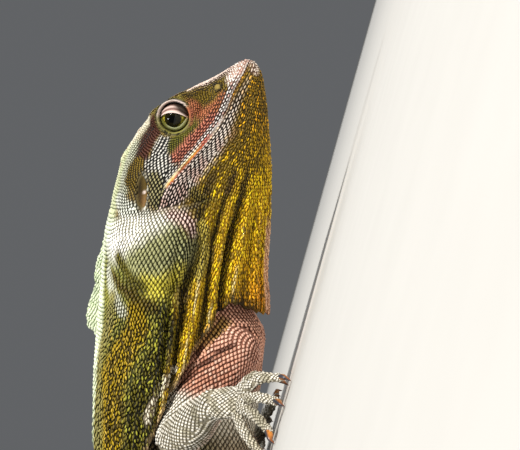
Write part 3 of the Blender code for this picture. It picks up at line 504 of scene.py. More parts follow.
# each mark: points (x, |y|, z), radius at its first and last point, softness, colour of the scales,
# colour between them
headMarks = {
    "crown": (((182, 0, 41), (166, 0, 59), (152, 0, 70), (137, 0, 74), (120, 0, 73.4)), (6, 10), 3,
        "#dcc8ac", "#5a402c"),
    "snout ridge": (((180.8, 3.2, 41.9), (174.3, 3.7, 49.3), (167.2, 2.6, 57.5), (163.5, 9, 63)),
        (3.4, 3.4), 2, "#f8e2d4", "#381a10"),
    "lore": (((173.1, 6.9, 46.1), (167.8, 7.3, 51.2), (164.9, 12.4, 56.1), (167.1, 9.2, 46.8)), (3, 3), 2.6,
        "#735f10", "#2a1e04"),
    "brow": (((164.6, 11.5, 60.5), (158.5, 12.2, 65.6), (151.5, 12.6, 66.8)), (2.6, 2.2), 1.6, "#94833a",
        "#3d3010"),
    "crown cream": (((154.3, 9.6, 67.7), (149.2, 7.8, 69.8), (143.7, 5.8, 72)), (3.4, 6), 3, "#e6dfc6",
        "#8f8764"),
    "nape green": (((139.5, 8.6, 71.9), (131, 7, 72.6), (122, 6, 73)), (6, 8), 4, "#d2d6ae", "#77824f"),
    "nape pale": (((146, 12.4, 68.6), (140.5, 13.2, 69.4), (137, 13.4, 69.5), (130.9, 13.7, 69.3)), (2, 3),
        2, "#d3d5bd", "#45442c"),
    "stripe": (((155.5, 12.8, 63.8), (150.4, 13.4, 64.6), (146.3, 13.9, 65.6), (143, 14.7, 65.6)),
        (2.9, 2.5), 1.8, "#502817", "#140703"),
    "above ear": (((141, 14.8, 66.2), (138.8, 14.9, 67), (135.1, 15.6, 66.8)), (2.2, 3), 1.8, "#7a6210",
        "#1a1404"),
    "temple": (((149.1, 16, 59.8), (144.8, 17.4, 60.4), (143.7, 19.5, 56.4), (141.9, 20.1, 54.6),
        (138.4, 20.1, 57.3), (142.1, 17.7, 61.2)), (2.9, 3.1), 1.4, "#d6d2c8", "#0d0b08"),
    "cheek": (((138.2, 19.6, 59), (135.2, 20.2, 57.4), (132.5, 20.4, 55.6)), (2.6, 3.6), 2.4, "#989064",
        "#141106"),
    "below eye": (((156.6, 15.2, 52.2), (153.2, 16.1, 53.6), (151.3, 16.6, 55.8), (149.3, 17.3, 55.9)),
        (2.3, 2.1), 1.4, "#6c6816", "#1d1e06"),
    "pink front": (((163.4, 12.4, 53.4), (162.4, 11.8, 49.8), (165, 10.9, 47.1), (168.6, 9.2, 45.4)),
        (2.8, 1.8), 3, "#b9714c", "#45240f"),
    "pink below": (((161.6, 13, 46.4), (158.6, 14.2, 47.6), (154.2, 15.8, 49.9), (150.4, 17.2, 52.2),
        (146.6, 18.6, 54)), (2.3, 2), 1.8, "#c67a62", "#451a11"),
    "nostril rim": (((171.2, 7.7, 48.3), (171.3, 7.7, 48.4)), (1.7, 1.7), 0.5, "#30260a", "#120d03"),
    "nostril": (((171.2, 7.7, 48.3), (171.3, 7.7, 48.4)), (1, 1), 0.4, "#8f7a3a", "#8f7a3a"),
    # pale snout tip, brightened with painted light on its upward face
    "snout tip highlight": (((182, 1, 41.2), (178.1, 5, 42.2), (175, 6.6, 43.8)), (4.6, 2.4), 2, "#fff8f0",
        "#b08c7a"),
    "behind ear": (((127.2, 13.6, 68.8), (124.6, 17.3, 64.7), (125.4, 19.6, 60.1)), (3.2, 3.4), 2,
        "#e4e6d8", "#2a2d1e"),
}
jawMarks = {
    "lower lip": (((178, 5.6, 38.8), (172, 8.6, 39.9), (167.1, 10.6, 40.8), (161.7, 12.9, 41.6),
        (156.5, 14.7, 42.8), (150.5, 16.2, 45), (144.7, 18, 48.4), (139.9, 19.4, 50.4),
        (134.8, 20.9, 53.7)), (-0.4, 5.2), 3.2, "#e6d9cd", "#1f130e"),
    "chin tip": (((182, 0.5, 39.6), (179.5, 3, 38.4)), (2.4, 1.8), 1.6, "#efe0d2", "#7a5a44"),
    "jaw corner": (((139, 20, 50.5), (134, 21, 52.5), (130.2, 21.3, 56)), (2.5, 3.6), 2.4, "#e6cfc4",
        "#1e120d"),
    "jaw fold": (((137.3, 18.6, 45.7), (134.8, 17.7, 43), (131, 16.9, 40.1)), (2, 2.6), 1.8, "#80702e",
        "#1f190b"),
    "chin fold": (((146.4, 12.2, 34.9), (136.1, 13.8, 36.1), (126.4, 14.2, 37)), (0.7, 1.5), 1.2, "#5a4312",
        "#191307"),
}
frillMarks = {
    "far edge": (((118, 0, 73.4), (96, 5, 72), (76, 8, 69), (50, 8, 64)), (8, 9), 4, "#f8ffe0", "#c8d8a8"),
    # painted shadow in the fold where the frill meets the jaws
    "jaw shadow": (((131, 21.5, 51.7), (132.5, 20.2, 47.8), (134, 18.7, 44.8)), (1.1, 2), 1.6, "#6f6347",
        "#150f08"),
    "jowl top": (((122, 8, 72.8), (112, 14, 69.5)), (6, 4), 4, "#dfe6cc", "#8a9872"),
    "jowl": (((116.6, 23.9, 57.3), (120.2, 24.7, 50.8), (118.5, 22.7, 44.6), (112.1, 26.1, 48.4),
        (111.4, 25.2, 55.6)), (7.5, 6.5), 9, "#a3a372", "#24280f"),
    # pale hide on the jowl's upper front, brightened with a painted highlight
    "jowl highlight": (((130, 21, 56.5), (124.4, 20.4, 60.4), (119.1, 19, 64.3), (114.4, 17.4, 66.4)),
        (7.4, 6.8), 7, "#fffdf4", "#8b8872"),
    "jowl pink": (((129.3, 21.7, 50.6), (128.4, 20.3, 46.2), (125.9, 19.3, 43.2)), (2.2, 2.4), 3.6,
        "#eccfc4", "#452620"),
    "jowl edge": (((104.7, 26.9, 51.2), (106.5, 25.3, 45.8), (111.1, 23.8, 42.4)), (4.4, 4), 5, "#dacd4a",
        "#5c5618"),
    # olive hide behind the jowl, darkened with painted shade below the jowl
    "jowl back shade": (((110.2, 19.3, 64), (106, 22.5, 60.2), (103.4, 25.7, 55.1)), (2.4, 3.4), 3, "#665f16",
        "#131204"),
    "jowl fold": (((127.3, 17.6, 41), (124, 17, 37.9), (119, 17.2, 37.2), (113, 19.8, 37.8)), (2, 2.4), 2,
        "#c4b04a", "#2c240b"),
    "ochre": (((96, 25, 53.3), (89.8, 24.7, 51.7), (83.2, 23.3, 54), (75.6, 21.5, 55.8), (69.4, 20.6, 56.9),
        (52, 24, 53)), (3.8, 6.5), 4, "#a98c00", "#241c00"),
    "dark green": (((97.5, 26, 44.1), (92, 24.8, 41.6), (86.5, 23.5, 42.6), (79, 25.7, 43.2),
        (68.2, 26.6, 44.9), (59, 27.3, 43.4), (44, 28.5, 41)), (3, 5.2), 4.4, "#605802", "#0f0d02"),
    "jowl shade": (((104.1, 16.6, 65.6), (101.6, 20.5, 61.9), (100.6, 23.7, 58.1), (99.9, 25.8, 53.8),
        (98.8, 26.5, 49)), (1.2, 2.2), 3, "#5c4c12", "#120d03"),
    "streak": (((104, 14.5, 67.2), (100.1, 16.8, 64.9), (97, 19.5, 62.1), (94, 22.2, 58.4)), (1.8, 2.4),
        2.4, "#d3d4c2", "#5a5b40"),
    "shoulder edge": (((97, 18.6, 62.9), (87.7, 18, 62.2), (78.1, 13.9, 62.9), (69.6, 12.8, 62.1),
        (60, 15, 60), (48, 17, 58)), (2, 4.6), 3.5, "#9c9454", "#3b360f"),
    "fold edge": (((80.5, 22.2, 37.2), (75.8, 24.3, 38.9), (69.7, 25.6, 40.3), (62.5, 27, 41.3)),
        (1.2, 1.7), 1, "#e8e1ca", "#6c5c42"),
}
trunkMarks = {
    "under frill": (((88.5, 18.5, 32), (96, 14, 26)), (2.2, 3), 4, "#b48a48", "#3a2410"),
}
# painted shade along folds across chest and upper arm, as (x, z) lines seen from the side, with a half
# width
armCreaseShades = ((((70, 35), (77.4, 31.1), (83.9, 26.4), (88.5, 21.4)), 0.55),
              (((74.5, 36), (82, 33), (88, 29)), 0.3))


def paint(marks, p, tone):
    # each mark mixes its two colours in by how near the point is to its line, with a ragged edge
    q, shake = mirrorY(p), 0.5 * ripple(p, 7) + 0.35 * ripple(p, 2.6)
    for line, (first, last), soft, scale, gap in marks.values():
        near, place = nearLine(line, q)
        radius = first + (last - first) * place
        near = near + shake * np.minimum(radius / 4, 1)
        tone = mixBoth(tone, scale, gap, 1 - ramp(near, radius - soft / 2, radius + soft / 2))
    return tone


def creaseShade(p, tone):
    # painted shade darkens each fold line, a wide soft band round a dark core; x and z slide with |y|, so
    # that a fold keeps its line where it passes from the chest to the arm
    x, y, z = np.moveaxis(mirrorY(p), -1, 0)
    flat = np.stack([x - 0.176 * y, z + 0.037 * y], -1)
    for line, half in armCreaseShades:
        near = nearLine(line, flat)[0] + 0.15 * ripple(p, 3)
        for reach, colour, strength in ((half * 2.6, "#a5684a", 0.5), (half, "#4a2214", 0.85)):
            m = (1 - ramp(near, reach * 0.6, reach * 1.4)) * strength * ramp(x, 62, 70)
            tone = mixBoth(tone, colour, srgb(colour) * 0.3, m)
    return tone


def orbitTone(p, tone):
    # smooth ringed skin round the eye: pinkish white above, rusty in front, pale olive below and behind
    for side in (-1, 1):
        across, over, c, r, sameSide = eyePlace(p, side)
        on = (c > -2) & sameSide & (r < 9)
        angle = np.degrees(np.arctan2(over, across))
        ring = mix("#8f8a48", "#f1dcd3", band(angle, 12, 50, 158, 185))
        ring = mix(ring, "#b4683f", ramp(-np.abs(angle - 8), -34, -12))
        ring = mix(ring, "#c9bd86", ramp(-angle, 150, 172) * 0.8)
        fold = 0.5 + 0.5 * np.cos((r - 5.3) * 2 * math.pi / 0.95)
        outer = mix("#1f1a06", "#665e22", fold)
        outer = mix(outer, mix("#4a2116", "#b0654c", fold), ramp(-np.abs(angle + 5), -42, -20))
        for colour, share in ((outer, 1 - ramp(r, 5.9, 6.7)), (ring, bell(r - 5.2, 0.3)),
                              ("#0c0806", 1 - ramp(r, 4.7, 5))):
            tone = mixBoth(tone, colour, colour, np.where(on, share, 0))
    return tone


def lipTone(x, d, onHead, pick, tone):
    # rows of pale plates along the upper lip, the red line of the mouth and the fold at its corner
    lip = onHead * ramp(x, 141, 147) * ramp(d, 0.1, 0.5) * (1 - ramp(d, 1.7 + 0.6 * ramp(x, 165, 178), 2.5))
    tone = mixBoth(tone, mix("#f1ece6", "#e0b8ab", ramp(pick, 0.6, 0.75)),
                   mix("#2c1a14", "#a87f6c", ramp(x, 172, 179)), lip)
    fold = mix(mix("#c4501c", "#f7a93a", ramp(d, -0.45, 0)), "#ffe9b4", ramp(d, 0, 0.45))
    fold = mix(fold, "#c8452c", ramp(x, 149, 155))
    tone = mixBoth(tone, "#551509", "#551509", onHead * ramp(x, 150, 154) * bell(d, 0.34))
    return mixBoth(tone, fold, fold, onHead * band(x, 136, 138.5, 153, 158) * bell(d - 0.1, 0.62, 6))


def earTone(p, onHead, tone):
    # painted shade darkens the ear's cup; the brown drum has painted shade over its top and a pale spot
    # that is a painted highlight; a whitish rim below
    e, over, s = earShape(mirrorY(p))
    # painted shade in the ear's hollow
    cupShade = (1 - ramp(e, 1.3, 1.75)) * onHead * (0.65 + 0.35 * (1 - ramp(e, 1.2, 1.35)))
    tone = mixBoth(tone, "#57491f", "#151108", cupShade)
    drum = mix("#574413", "#735529", ramp(ripple(p, 4) * 0.6 - s, -0.6, 2))
    # painted shade over the drum's top
    drum = mix(drum, "#1d150a", ramp(over, 0.2, 1.5) * 0.8)
    # the pale spot: a painted highlight on the drum
    drum = mix(drum, "#ead8cd", 1 - ramp(np.hypot(s + 0.2, over - 0.1), 0.2, 0.8))
    tone = mixBoth(tone, drum, drum * 0.8, (1 - ramp(e, 0.85, 1.02)) * onHead)
    return mixBoth(tone, "#eceadf", "#b8b49c", bell(e - 1.12, 0.1) * (1 - ramp(over, -0.9, 0.5)) * onHead)


def throatShade(a, v):
    # painted shade beside the jaws, and how deep in a pleat's valley a place lies, from 0 to 1, which sets
    # the painted shade in the valleys
    root = np.abs(a)
    jawShade = ramp(root, 36, 56) * band(v, 0.3, 0.55, 1.3, 1.6)
    return jawShade, pleatDip(root, np.maximum(v - 1, 0.3)) / frillForm["pleatDepth"]


def throatTone(a, v, x, pick):
    # ochre and bright yellow scales over olive brown, sparser towards the chin, with painted shade beside
    # the jaws; the pleats' valleys run on over the rear of the lower jaw as dark streaks of painted shade
    front, (jawShade, depth) = ramp(x, 140, 168), throatShade(a, v)
    yellow = mix("#e2b40c", "#8a6c0a", front)
    bright = mix("#ffd512", "#ffba10", front)
    yellow = mix(yellow, bright, ramp(pick, 0.45 + 0.25 * front, 0.5 + 0.25 * front))
    yellow = mix(yellow, "#4c4216", ramp(pick, 0.88, 0.91) * 0.8)
    # painted shade beside the jaws
    yellow = mix(yellow, "#54450f", jawShade * (1 - ramp(pick, 0.68, 0.74)) * 0.8)
    # painted shade down the pleats' valleys, carried on over the rear of the lower jaw
    streak = ramp(depth, 0.3, 0.8) * ramp(v, 0.62, 0.95) * ramp(np.abs(a), 20, 32)
    return mix(yellow, "#3c2c04", streak * 0.85), mix(mix("#684f05", "#3c2c02", front), "#171202", streak)


def frillTone(p, a, v, pick, tone):
    # the throat's pleats: yellow crests, brown valleys darkened by painted shade as they deepen, pale ribs
    # along a few crests, and dark mottling before the pale hem
    share, root, onFrill = np.clip(v - 1, 0, 1), np.abs(a), ramp(v, 0.99, 1.03)
    x, throat = p[..., 0], (1 - ramp(root, 64, 78)) * onFrill
    tone = mixBoth(tone, mix("#8b9142", "#97852a", share), "#2d3212", (1 - throat) * onFrill)
    jawShade, depth = throatShade(a, v)
    crest = mix(mix("#e4b60e", "#ffda18", ramp(pick, 0.35, 0.5)), "#f49c14",
                ramp(share, 0.45, 0.95) * (1 - ramp(root, 16, 36)) * 0.9)
    crest = mix(crest, "#56430f", ramp(pick, 0.84, 0.88) * 0.85)
    # painted shade: crests and gaps darken down the pleats' valleys, and crests beside the jaws
    crest = mix(crest, "#3c2c04", ramp(depth, 0.25, 0.8) * 0.9)
    crest = mix(crest, "#54450f", jawShade * (1 - ramp(pick, 0.68, 0.74)) * 0.7)
    tone = mixBoth(tone, crest, mix("#8e6a06", "#171202", ramp(depth, 0.2, 0.75)),
                   throat * ramp(share, -0.05, 0.1))
    phase = (root - 2) / frillForm["pleatStep"] % 1
    rib = bell(phase - 0.5 - 0.06 * np.sin(share * 9), 0.05) * band(root, 26, 34, 74, 82)
    rib = rib * ramp(share, 0.3, 0.5) * ramp(ripple(p, 19), -0.3, 0.4)
    tone = mix(tone[0], "#e4dcae", rib * 0.75), mix(tone[1], "#a0905a", rib * 0.7)
    mottle = 0.8 * ramp(share, 0.86, 0.96) * band(root, 12, 22, 44, 56) * onFrill
    tone = mixBoth(tone, mix("#33240a", "#e0a01c", ramp(pick, 0.52, 0.6)), "#140e06", mottle)
    scale, gap = paint(frillMarks, p, tone)
    # single olive, dark and golden scales over the cape's sides
    side = (1 - throat) * ramp(share, 0.3, 0.5) * (1 - ramp(root, 128, 146))
    green = nearLine(frillMarks["dark green"][0], mirrorY(p))[0]
    for colour, amount in (("#b5b437", ramp(pick, 0.76, 0.8) * (1 - ramp(green, 5, 9))),
                           ("#3a3110", ramp(-pick, -0.26, -0.2) * ramp(green, 3, 7)),
                           ("#d7b441", ramp(pick, 0.8, 0.86) * ramp(green, 5, 9))):
        scale = mix(scale, colour, side * amount * 0.7)
    hem = ramp(share, 0.93, 0.985) * onFrill * ramp(root, 40, 60)
    hemTone = mix("#d8b98c", "#d3e2c2", ramp(root, 110, 150))
    scale, gap = mix(scale, hemTone, hem * 0.85), mix(gap, hemTone * 0.45, hem * 0.8)
    # the raised side's skin is thin and pale between its scales
    thin = band(a, 120, 136, 166, 174) * band(x, 64, 72, 106, 114) * onFrill
    mottled = mix("#eaf4d0", "#a4b880", ramp(ripple(p, 5), 0, 0.7) * 0.7)
    return mix(scale, mottled, thin * 0.75), mix(gap, "#b4c79a", thin * 0.9)


def hideColours(p, a, v, pick):
    # head and frill; pick is a random number for each scale, which chooses among a zone's colours
    x, q, d = p[..., 0], mirrorY(p), aboveLip(p)
    onHead, below = 1 - ramp(v, 0.99, 1.03), ramp(-d, -0.2, 0.4)
    tone = mixBoth((srgb("#8a7436"), srgb("#352812")), *throatTone(a, v, x, pick), below)
    tone = mixBoth(tone, *paint(headMarks, p, tone), 1 - below)
    jaw = paint(jawMarks, p, tone)
    pinkish = 1 - ramp(nearLine(jawMarks["lower lip"][0], q)[0], 3.6, 5)
    pinkish = pinkish * ramp(ripple(p, 8), -0.2, 0.5) * (1 - ramp(x, 150, 165)) * 0.4875
    jaw = mix(jaw[0], "#d39c8d", pinkish), jaw[1]
    tone = mixBoth(tone, *jaw, below * onHead)
    tone = earTone(p, onHead, lipTone(x, d, onHead, pick, tone))
    # brown red spots over the pale crown
    spot = ramp(ripple(p * (1.3, 1, 1), 4.5), 0.2, 0.7) * ramp(np.abs(a), 150, 165)
    spot = spot * onHead * ramp(x, 128, 140)
    tone = mix(tone[0], "#94543f", spot * 0.8), mix(tone[1], "#3d1d14", spot)
    tone = orbitTone(p, tone)
    tone = mixBoth(tone, *frillTone(p, a, v, pick, tone), 1 - onHead)
    # a bare pinkish keel down the lower throat
    keel = (1 - ramp(np.abs(a), 9.5, 12.5)) * ramp(v, 1.22, 1.4) * (1 - onHead)
    return mixBoth(tone, "#edc3a6", "#b58266", keel * 0.85)


def trunkColours(p, a, x, pick):
    # grey olive back with dark saddles, pale belly, pink chest; the tail is ringed
    turn = np.abs(a)
    scale = mix("#8e8460", "#a8a184", ramp(pick, 0.55, 0.8))
    dark = ramp(np.sin(x / 6.3 + 0.9 * ripple(p, 30)) + 0.35 * ripple(p, 8), 0.15, 0.75)
    dark = dark * ramp(turn, 70, 100)
    ring = ramp(np.sin(x / 7.5 + 0.3 * ripple(p, 30)), 0, 0.6)
    dark = dark + (ring - dark) * ramp(-x, 80, 120)
    scale, gap = mix(scale, "#54492f", dark * 0.85), mix("#332c1c", "#1d170e", dark * 0.8)
    scale = mix(scale, "#b39a62", (1 - dark) * ramp(ripple(p, 12), 0.3, 0.9) * 0.6)
    belly = 1 - ramp(turn, 38, 72)
    tone = mix(scale, "#cbb99a", belly * 0.9), mix(gap, "#6d5a44", belly * 0.8)
    # whitish behind the elbow, pink on the chest
    tone = mixBoth(tone, "#efe8d8", "#877f69", ramp(x, 56, 66) * (1 - ramp(turn, 92, 112)))
    tone = mixBoth(tone, "#e9b096", "#6b3d2b", ramp(x, 72.5, 77) * (1 - ramp(turn, 88, 112)))
    scale, gap = creaseShade(p, paint(trunkMarks, p, tone))
    return mix(scale, scale * 0.82, ramp(pick, 0.1, 0)), gap


def limbColours(p, name, kind, u, v, pick):
    # pink upper arm, lighter near the shoulder with painted light, grey white forearm and hand; the hind
    # legs are grey brown with dark bars
    fore, along = name.startswith("fore"), {"upper": 0, "lower": 1, "palm": 2}.get(kind, 3) + np.asarray(v)
    if fore:
        pale = np.maximum(ramp(along, 0.62, 1.02), 1 - ramp(p[..., 0], 71.5, 76.5))
        # painted light: a lighter pool towards the shoulder, where the frill's hem shades it
        shoulder = 1 - ramp(along, 0.1, 0.4)
        scale = mix(mix("#dea084", "#f6c3ab", shoulder), "#f1ece0", pale)
        gap = mix(mix("#6b3b2a", "#93604d", shoulder), "#877f69", pale)
        scale = mix(scale, "#8f8866", ramp(ripple(p, 9), 0.1, 0.7) * ramp(along, 0.95, 1.3) * 0.7)
        scale = mix(scale, "#eadfce", ramp(pick, 0.75, 0.85) * 0.3)
        if kind == "upper":
            scale, gap = creaseShade(p, (scale, gap))
    else:
        scale = mix("#95896a", "#b5aa8c", ramp(pick, 0.5, 0.8))
        gap = np.broadcast_to(srgb("#30291b"), scale.shape)
        scale = mix(scale, "#564c34", ramp(np.sin(along * 9 + 0.6 * ripple(p, 14)), 0.2, 0.8) * 0.85)
    under = ramp(-np.sin(np.radians(u)), 0.45, 0.9)
    if kind in ("upper", "lower"):
        return mix(scale, "#dba08e" if fore else "#d3bea2", under * 0.5), gap
    scale = mix(scale, "#d8cfba", ramp(pick, 0.35, 0.8) * 0.5)
    return mix(scale, "#7a5c33", under * 0.8), mix(gap, "#3a2a16", under * 0.7)


# ---- meshes ----


def addMesh(name, verts, faces, tint=None, patch=None):
    # vertices in millimetres; faces is an array of triangles or quads; tint colours each vertex
    mesh = bpy.data.meshes.new(name)
    count, corners = len(faces), faces.shape[1]
    mesh.vertices.add(len(verts))
    mesh.vertices.foreach_set("co", (np.asarray(verts, np.float32) * mm).ravel())
    mesh.loops.add(count * corners)
    mesh.loops.foreach_set("vertex_index", faces.astype(np.int32).ravel())
    mesh.polygons.add(count)
    mesh.polygons.foreach_set("loop_start", np.arange(0, count * corners, corners, dtype=np.int32))
    mesh.update(calc_edges=True)
    mesh.shade_smooth()
    for key, values in (tint if isinstance(tint, dict) else {"tint": tint}).items():
        layer = mesh.color_attributes.new(key, "FLOAT_COLOR", "POINT")
        rgba = np.ones((len(verts), 4), np.float32)
        rgba[:, :values.shape[1]] = values
        layer.data.foreach_set("color", rgba.ravel())
    if patch is not None:
        layer = mesh.uv_layers.new(name="OFBake")
        layer.data.foreach_set("uv", patch[faces.ravel()].astype(np.float32).ravel())
    obj = bpy.data.objects.new(name, mesh)
    bpy.context.scene.collection.objects.link(obj)
    return obj


def outward(verts, faces):
    # turns a closed surface's faces outward by the sign of its volume
    tri = np.concatenate([faces[:, [0, 1, 2]], faces[:, [0, 2, 3]]]) if faces.shape[1] == 4 else faces
    v = verts - verts.mean(0)
    volume = np.einsum("ij,ij->i", v[tri[:, 0]], np.cross(v[tri[:, 1]], v[tri[:, 2]])).sum()
    return faces if volume > 0 else faces[:, ::-1]


def gridFaces(rows, cols, wrap):
    # quads between neighbouring rows and columns; wrap joins the last column to the first
    i, j = np.meshgrid(np.arange(rows - 1), np.arange(cols if wrap else cols - 1), indexing="ij")
    k = (j + 1) % cols
    return np.stack([i * cols + j, i * cols + k, (i + 1) * cols + k, (i + 1) * cols + j], -1).reshape(-1, 4)


def closedTube(points, tint):
    # a grid of rings with its colours, and a ring drawn to its own middle at each end
    def ended(grid):
        ends = [np.broadcast_to(ring.mean(0), (1, *ring.shape)) for ring in (grid[0], grid[-1])]
        return np.concatenate([ends[0], grid, ends[1]]).reshape(-1, 3)

    verts = ended(points)
    return verts, outward(verts, gridFaces(len(points) + 2, points.shape[1], True)), ended(tint)


def closedSheet(points, tint):
    # a doubled sheet: its first and last rows are joined, and its two sides are closed
    rows, cols = points.shape[:2]
    k, last = np.arange(cols - 1), (rows - 1) * cols
    wrap = np.stack([last + k, last + k + 1, k + 1, k], -1)
    k = np.arange(rows // 2 - 1)
    side = np.stack([k * cols, (k + 1) * cols, (rows - 2 - k) * cols, (rows - 1 - k) * cols], -1)
    faces = np.concatenate([gridFaces(rows, cols, False), wrap, side, side[:, ::-1] + cols - 1])
    verts = points.reshape(-1, 3)
    return verts, outward(verts, faces), tint.reshape(-1, 3)


def joinForms(name, forms):
    # one mesh from closed forms given as vertices, faces and colours
    bases = np.cumsum([0] + [len(form[0]) for form in forms])
    verts, faces, tints = zip(*forms)
    faces = np.concatenate([f + base for f, base in zip(faces, bases)])
    return addMesh(name, np.concatenate(verts), faces, np.concatenate(tints))


# ---- scales ----

# a scale's plate: across, along its lie, height above the hide when it laps and when it is a granule, how
# much it shows its own colour rather than the colour between scales, and what an open texture adds to that
plate = np.array([
    (-0.27, -0.42, -0.1, -0.1, 0.38, -0.2), (0, -0.56, -0.08, -0.1, 0.42, -0.1),
    (0.27, -0.42, -0.1, -0.1, 0.38, -0.2), (0.46, 0, 0.02, -0.08, 0.34, -0.34),
    (0.27, 0.38, 0.22, -0.08, 0.34, -0.34), (0, 0.56, 0.4, -0.06, 0.42, -0.42),
    (-0.27, 0.38, 0.22, -0.08, 0.34, -0.34), (-0.46, 0, 0.02, -0.08, 0.34, -0.34),
    (0, 0.02, 0.72, 0.6, 1, -0.3), (0, 0, -1.1, -0.9, 0, 0),
])
plateFaces = np.array([(8, i, (i + 1) % 8) for i in range(8)] + [(9, (i + 1) % 8, i) for i in range(8)])


def scatter(surface, uRange, vRange, sizeAt, grid, anchor=0, even=False):
    # rows follow curves of equal counted length along the lie, and in each row the scales are counted
    # outwards from the anchor line, every other row shifted by half a scale; even rows all reach the end
    u, v = np.linspace(*uRange, grid[0]), np.linspace(*vRange, grid[1])
    points = surface(u[None, :], v[:, None])
    wide, long = (np.broadcast_to(q, points.shape[:2]) for q in sizeAt(points, u[None, :], v[:, None]))
    step = np.linalg.norm(np.diff(points, axis=0), axis=-1) / (0.5 * (long[1:] + long[:-1]) * 0.64)
    count = np.concatenate([np.zeros((1, len(u))), np.cumsum(step, axis=0)])
    if even:
        count = count / count[-1] * count[-1].mean()
    mid, cols = np.argmin(np.abs(u - anchor)), np.arange(len(u))
    foundU, foundV = [], []
    for k in range(1, int(count.max())):
        i = np.clip((count < k).sum(axis=0), 1, len(v) - 1)
        low, high = count[i - 1, cols], count[i, cols]
        t = np.clip((k - low) / np.maximum(high - low, 1e-9), 0, 1)
        rowV = v[i - 1] + t * (v[i] - v[i - 1])
        rowP = points[i - 1, cols] + t[:, None] * (points[i, cols] - points[i - 1, cols])
        rowW = wide[i, cols]
        arc = np.linalg.norm(np.diff(rowP, axis=0), axis=-1) / (0.5 * (rowW[1:] + rowW[:-1]))
        n = np.concatenate([[0], np.cumsum(arc)])
        n = n - n[mid]
        at = np.arange(math.ceil(n[0]), math.floor(n[-1]) + 1) + 0.5 * (k % 2)
        at = at[(at > n[0]) & (at < n[-1])]
        keep = np.interp(at, n, (count[-1] > k).astype(float)) > 0.99
        foundU.append(np.interp(at, n, u)[keep])
        foundV.append(np.interp(at, n, rowV)[keep])
    return np.concatenate(foundU), np.concatenate(foundV)


def scaleCoat(surface, u, v, sizeAt, colours, steps, span, drop=None, lift=0.34, cell=(0, 0, 1, 1), lap=1,
              stray=0.06, lie=None, openness=0.25):
    # puts a plate at each (u, v) and gives vertices, faces, both colours and bake patches
    p = surface(u, v)
    du = surface(u + steps[0], v) - surface(u - steps[0], v)
    dv = surface(u, v + steps[1]) - surface(u, v - steps[1])
    up = -unit(np.cross(du, dv))
    back = unit(dv if lie is None else lie - up * (lie * up).sum(-1, keepdims=True))
    side = unit(np.cross(back, up))
    settings = (*sizeAt(p, u, v), *(q(p, u, v) if callable(q) else q for q in (lap, stray, openness)))
    wide, long, lap, stray, openness = (np.broadcast_to(q, u.shape) for q in settings)
    good = np.isfinite(up).all(-1) & (np.linalg.norm(du, axis=-1) > 1e-5)
    if drop is not None:
        good &= ~drop(p)
    p, back, up, side, u, v, wide, long, lap, stray, openness = (
        q[good] for q in (p, back, up, side, u, v, wide, long, lap, stray, openness))
    n = len(p)
    turn = (rng.normal(0, 1, n) * stray)[:, None]
    across, along = side * np.cos(turn) + back * np.sin(turn), back * np.cos(turn) - side * np.sin(turn)
    p = p + side * (rng.normal(0, 0.6, n) * stray * wide)[:, None]
    p = p + back * (rng.normal(0, 0.6, n) * stray * wide)[:, None]
    grow = 1 + rng.uniform(-1, 1, n) * (0.05 + 0.6 * stray)
    height = lift * np.sqrt(wide * np.minimum(long, wide * 1.6)) * rng.uniform(0.85, 1.15, n)
    rise = plate[:, 3] + (plate[:, 2] - plate[:, 3]) * lap[:, None]
    verts = (p[:, None] + across[:, None] * (plate[None, :, :1] * (wide * grow * 1.02)[:, None, None])
             + along[:, None] * (plate[None, :, 1:2] * (long * grow * (0.98 + 0.06 * lap))[:, None, None])
             + up[:, None] * (rise * height[:, None])[..., None])
    verts[..., 2] = np.maximum(verts[..., 2], 0)
    scale, gap = colours(p, u, v, rng.random(n))
    scale = scale * rng.uniform(0.84, 1.12, n)[:, None]
    tint, between = np.ones((2, n, len(plate), 4))
    tint[..., :3], between[..., :3] = scale[:, None], gap[:, None]
    tint[..., 3] = plate[:, 4] + plate[:, 5] * openness[:, None]
    faces = (plateFaces[None] + (np.arange(n) * len(plate))[:, None, None]).reshape(-1, 3)
    (u0, u1), (v0, v1) = span
    spot = np.stack([(u - u0) / (u1 - u0), (v - v0) / (v1 - v0)], -1) * 0.96 + 0.02
    spot = spot * (cell[2] - cell[0], cell[3] - cell[1]) + (cell[0], cell[1])
    patch = spot[:, None] + plate[None, :, :2] * 0.003
    coat = verts, faces, np.clip(tint, 0, 1), np.clip(between, 0, 1), patch
    return [q.reshape(-1, q.shape[-1]) for q in coat]


def joinCoats(name, coats):
    # one object from several coats, carrying both colours and the bake patches
    bases = np.cumsum([0] + [len(coat[0]) for coat in coats])
    faces = np.concatenate([coat[1] + base for coat, base in zip(coats, bases)])
    verts, tint, between, patch = (np.concatenate([coat[k] for coat in coats]) for k in (0, 2, 3, 4))
    obj = addMesh(name, verts, faces, {"tint": tint, "between": between}, patch)
    obj.data.materials.append(scaleMaterial)
    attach(obj, "root")
    print(name, "triangles", len(faces))


# ---- materials ----


def addNode(tree, kind, links=None, **settings):
    # one node with its settings, sockets set by name or number, and links from other sockets
    node = tree.nodes.new("ShaderNode" + kind)
    for key, value in settings.items():
        if key.startswith("in_"):
            key = key[3:]
            node.inputs[int(key) if key.isdigit() else key.replace("_", " ")].default_value = value
        else:
            setattr(node, key, value)
    for key, source in (links or {}).items():
        tree.links.new(source, node.inputs[key])
    return node


def newMaterial(name, sockets):
    # constants are set directly on the shader's sockets
    material = bpy.data.materials.new(name)
    material.use_nodes = True
    shader = material.node_tree.nodes["Principled BSDF"]
    for key, value in sockets.items():
        shader.inputs[key].default_value = value
    return material, material.node_tree, shader


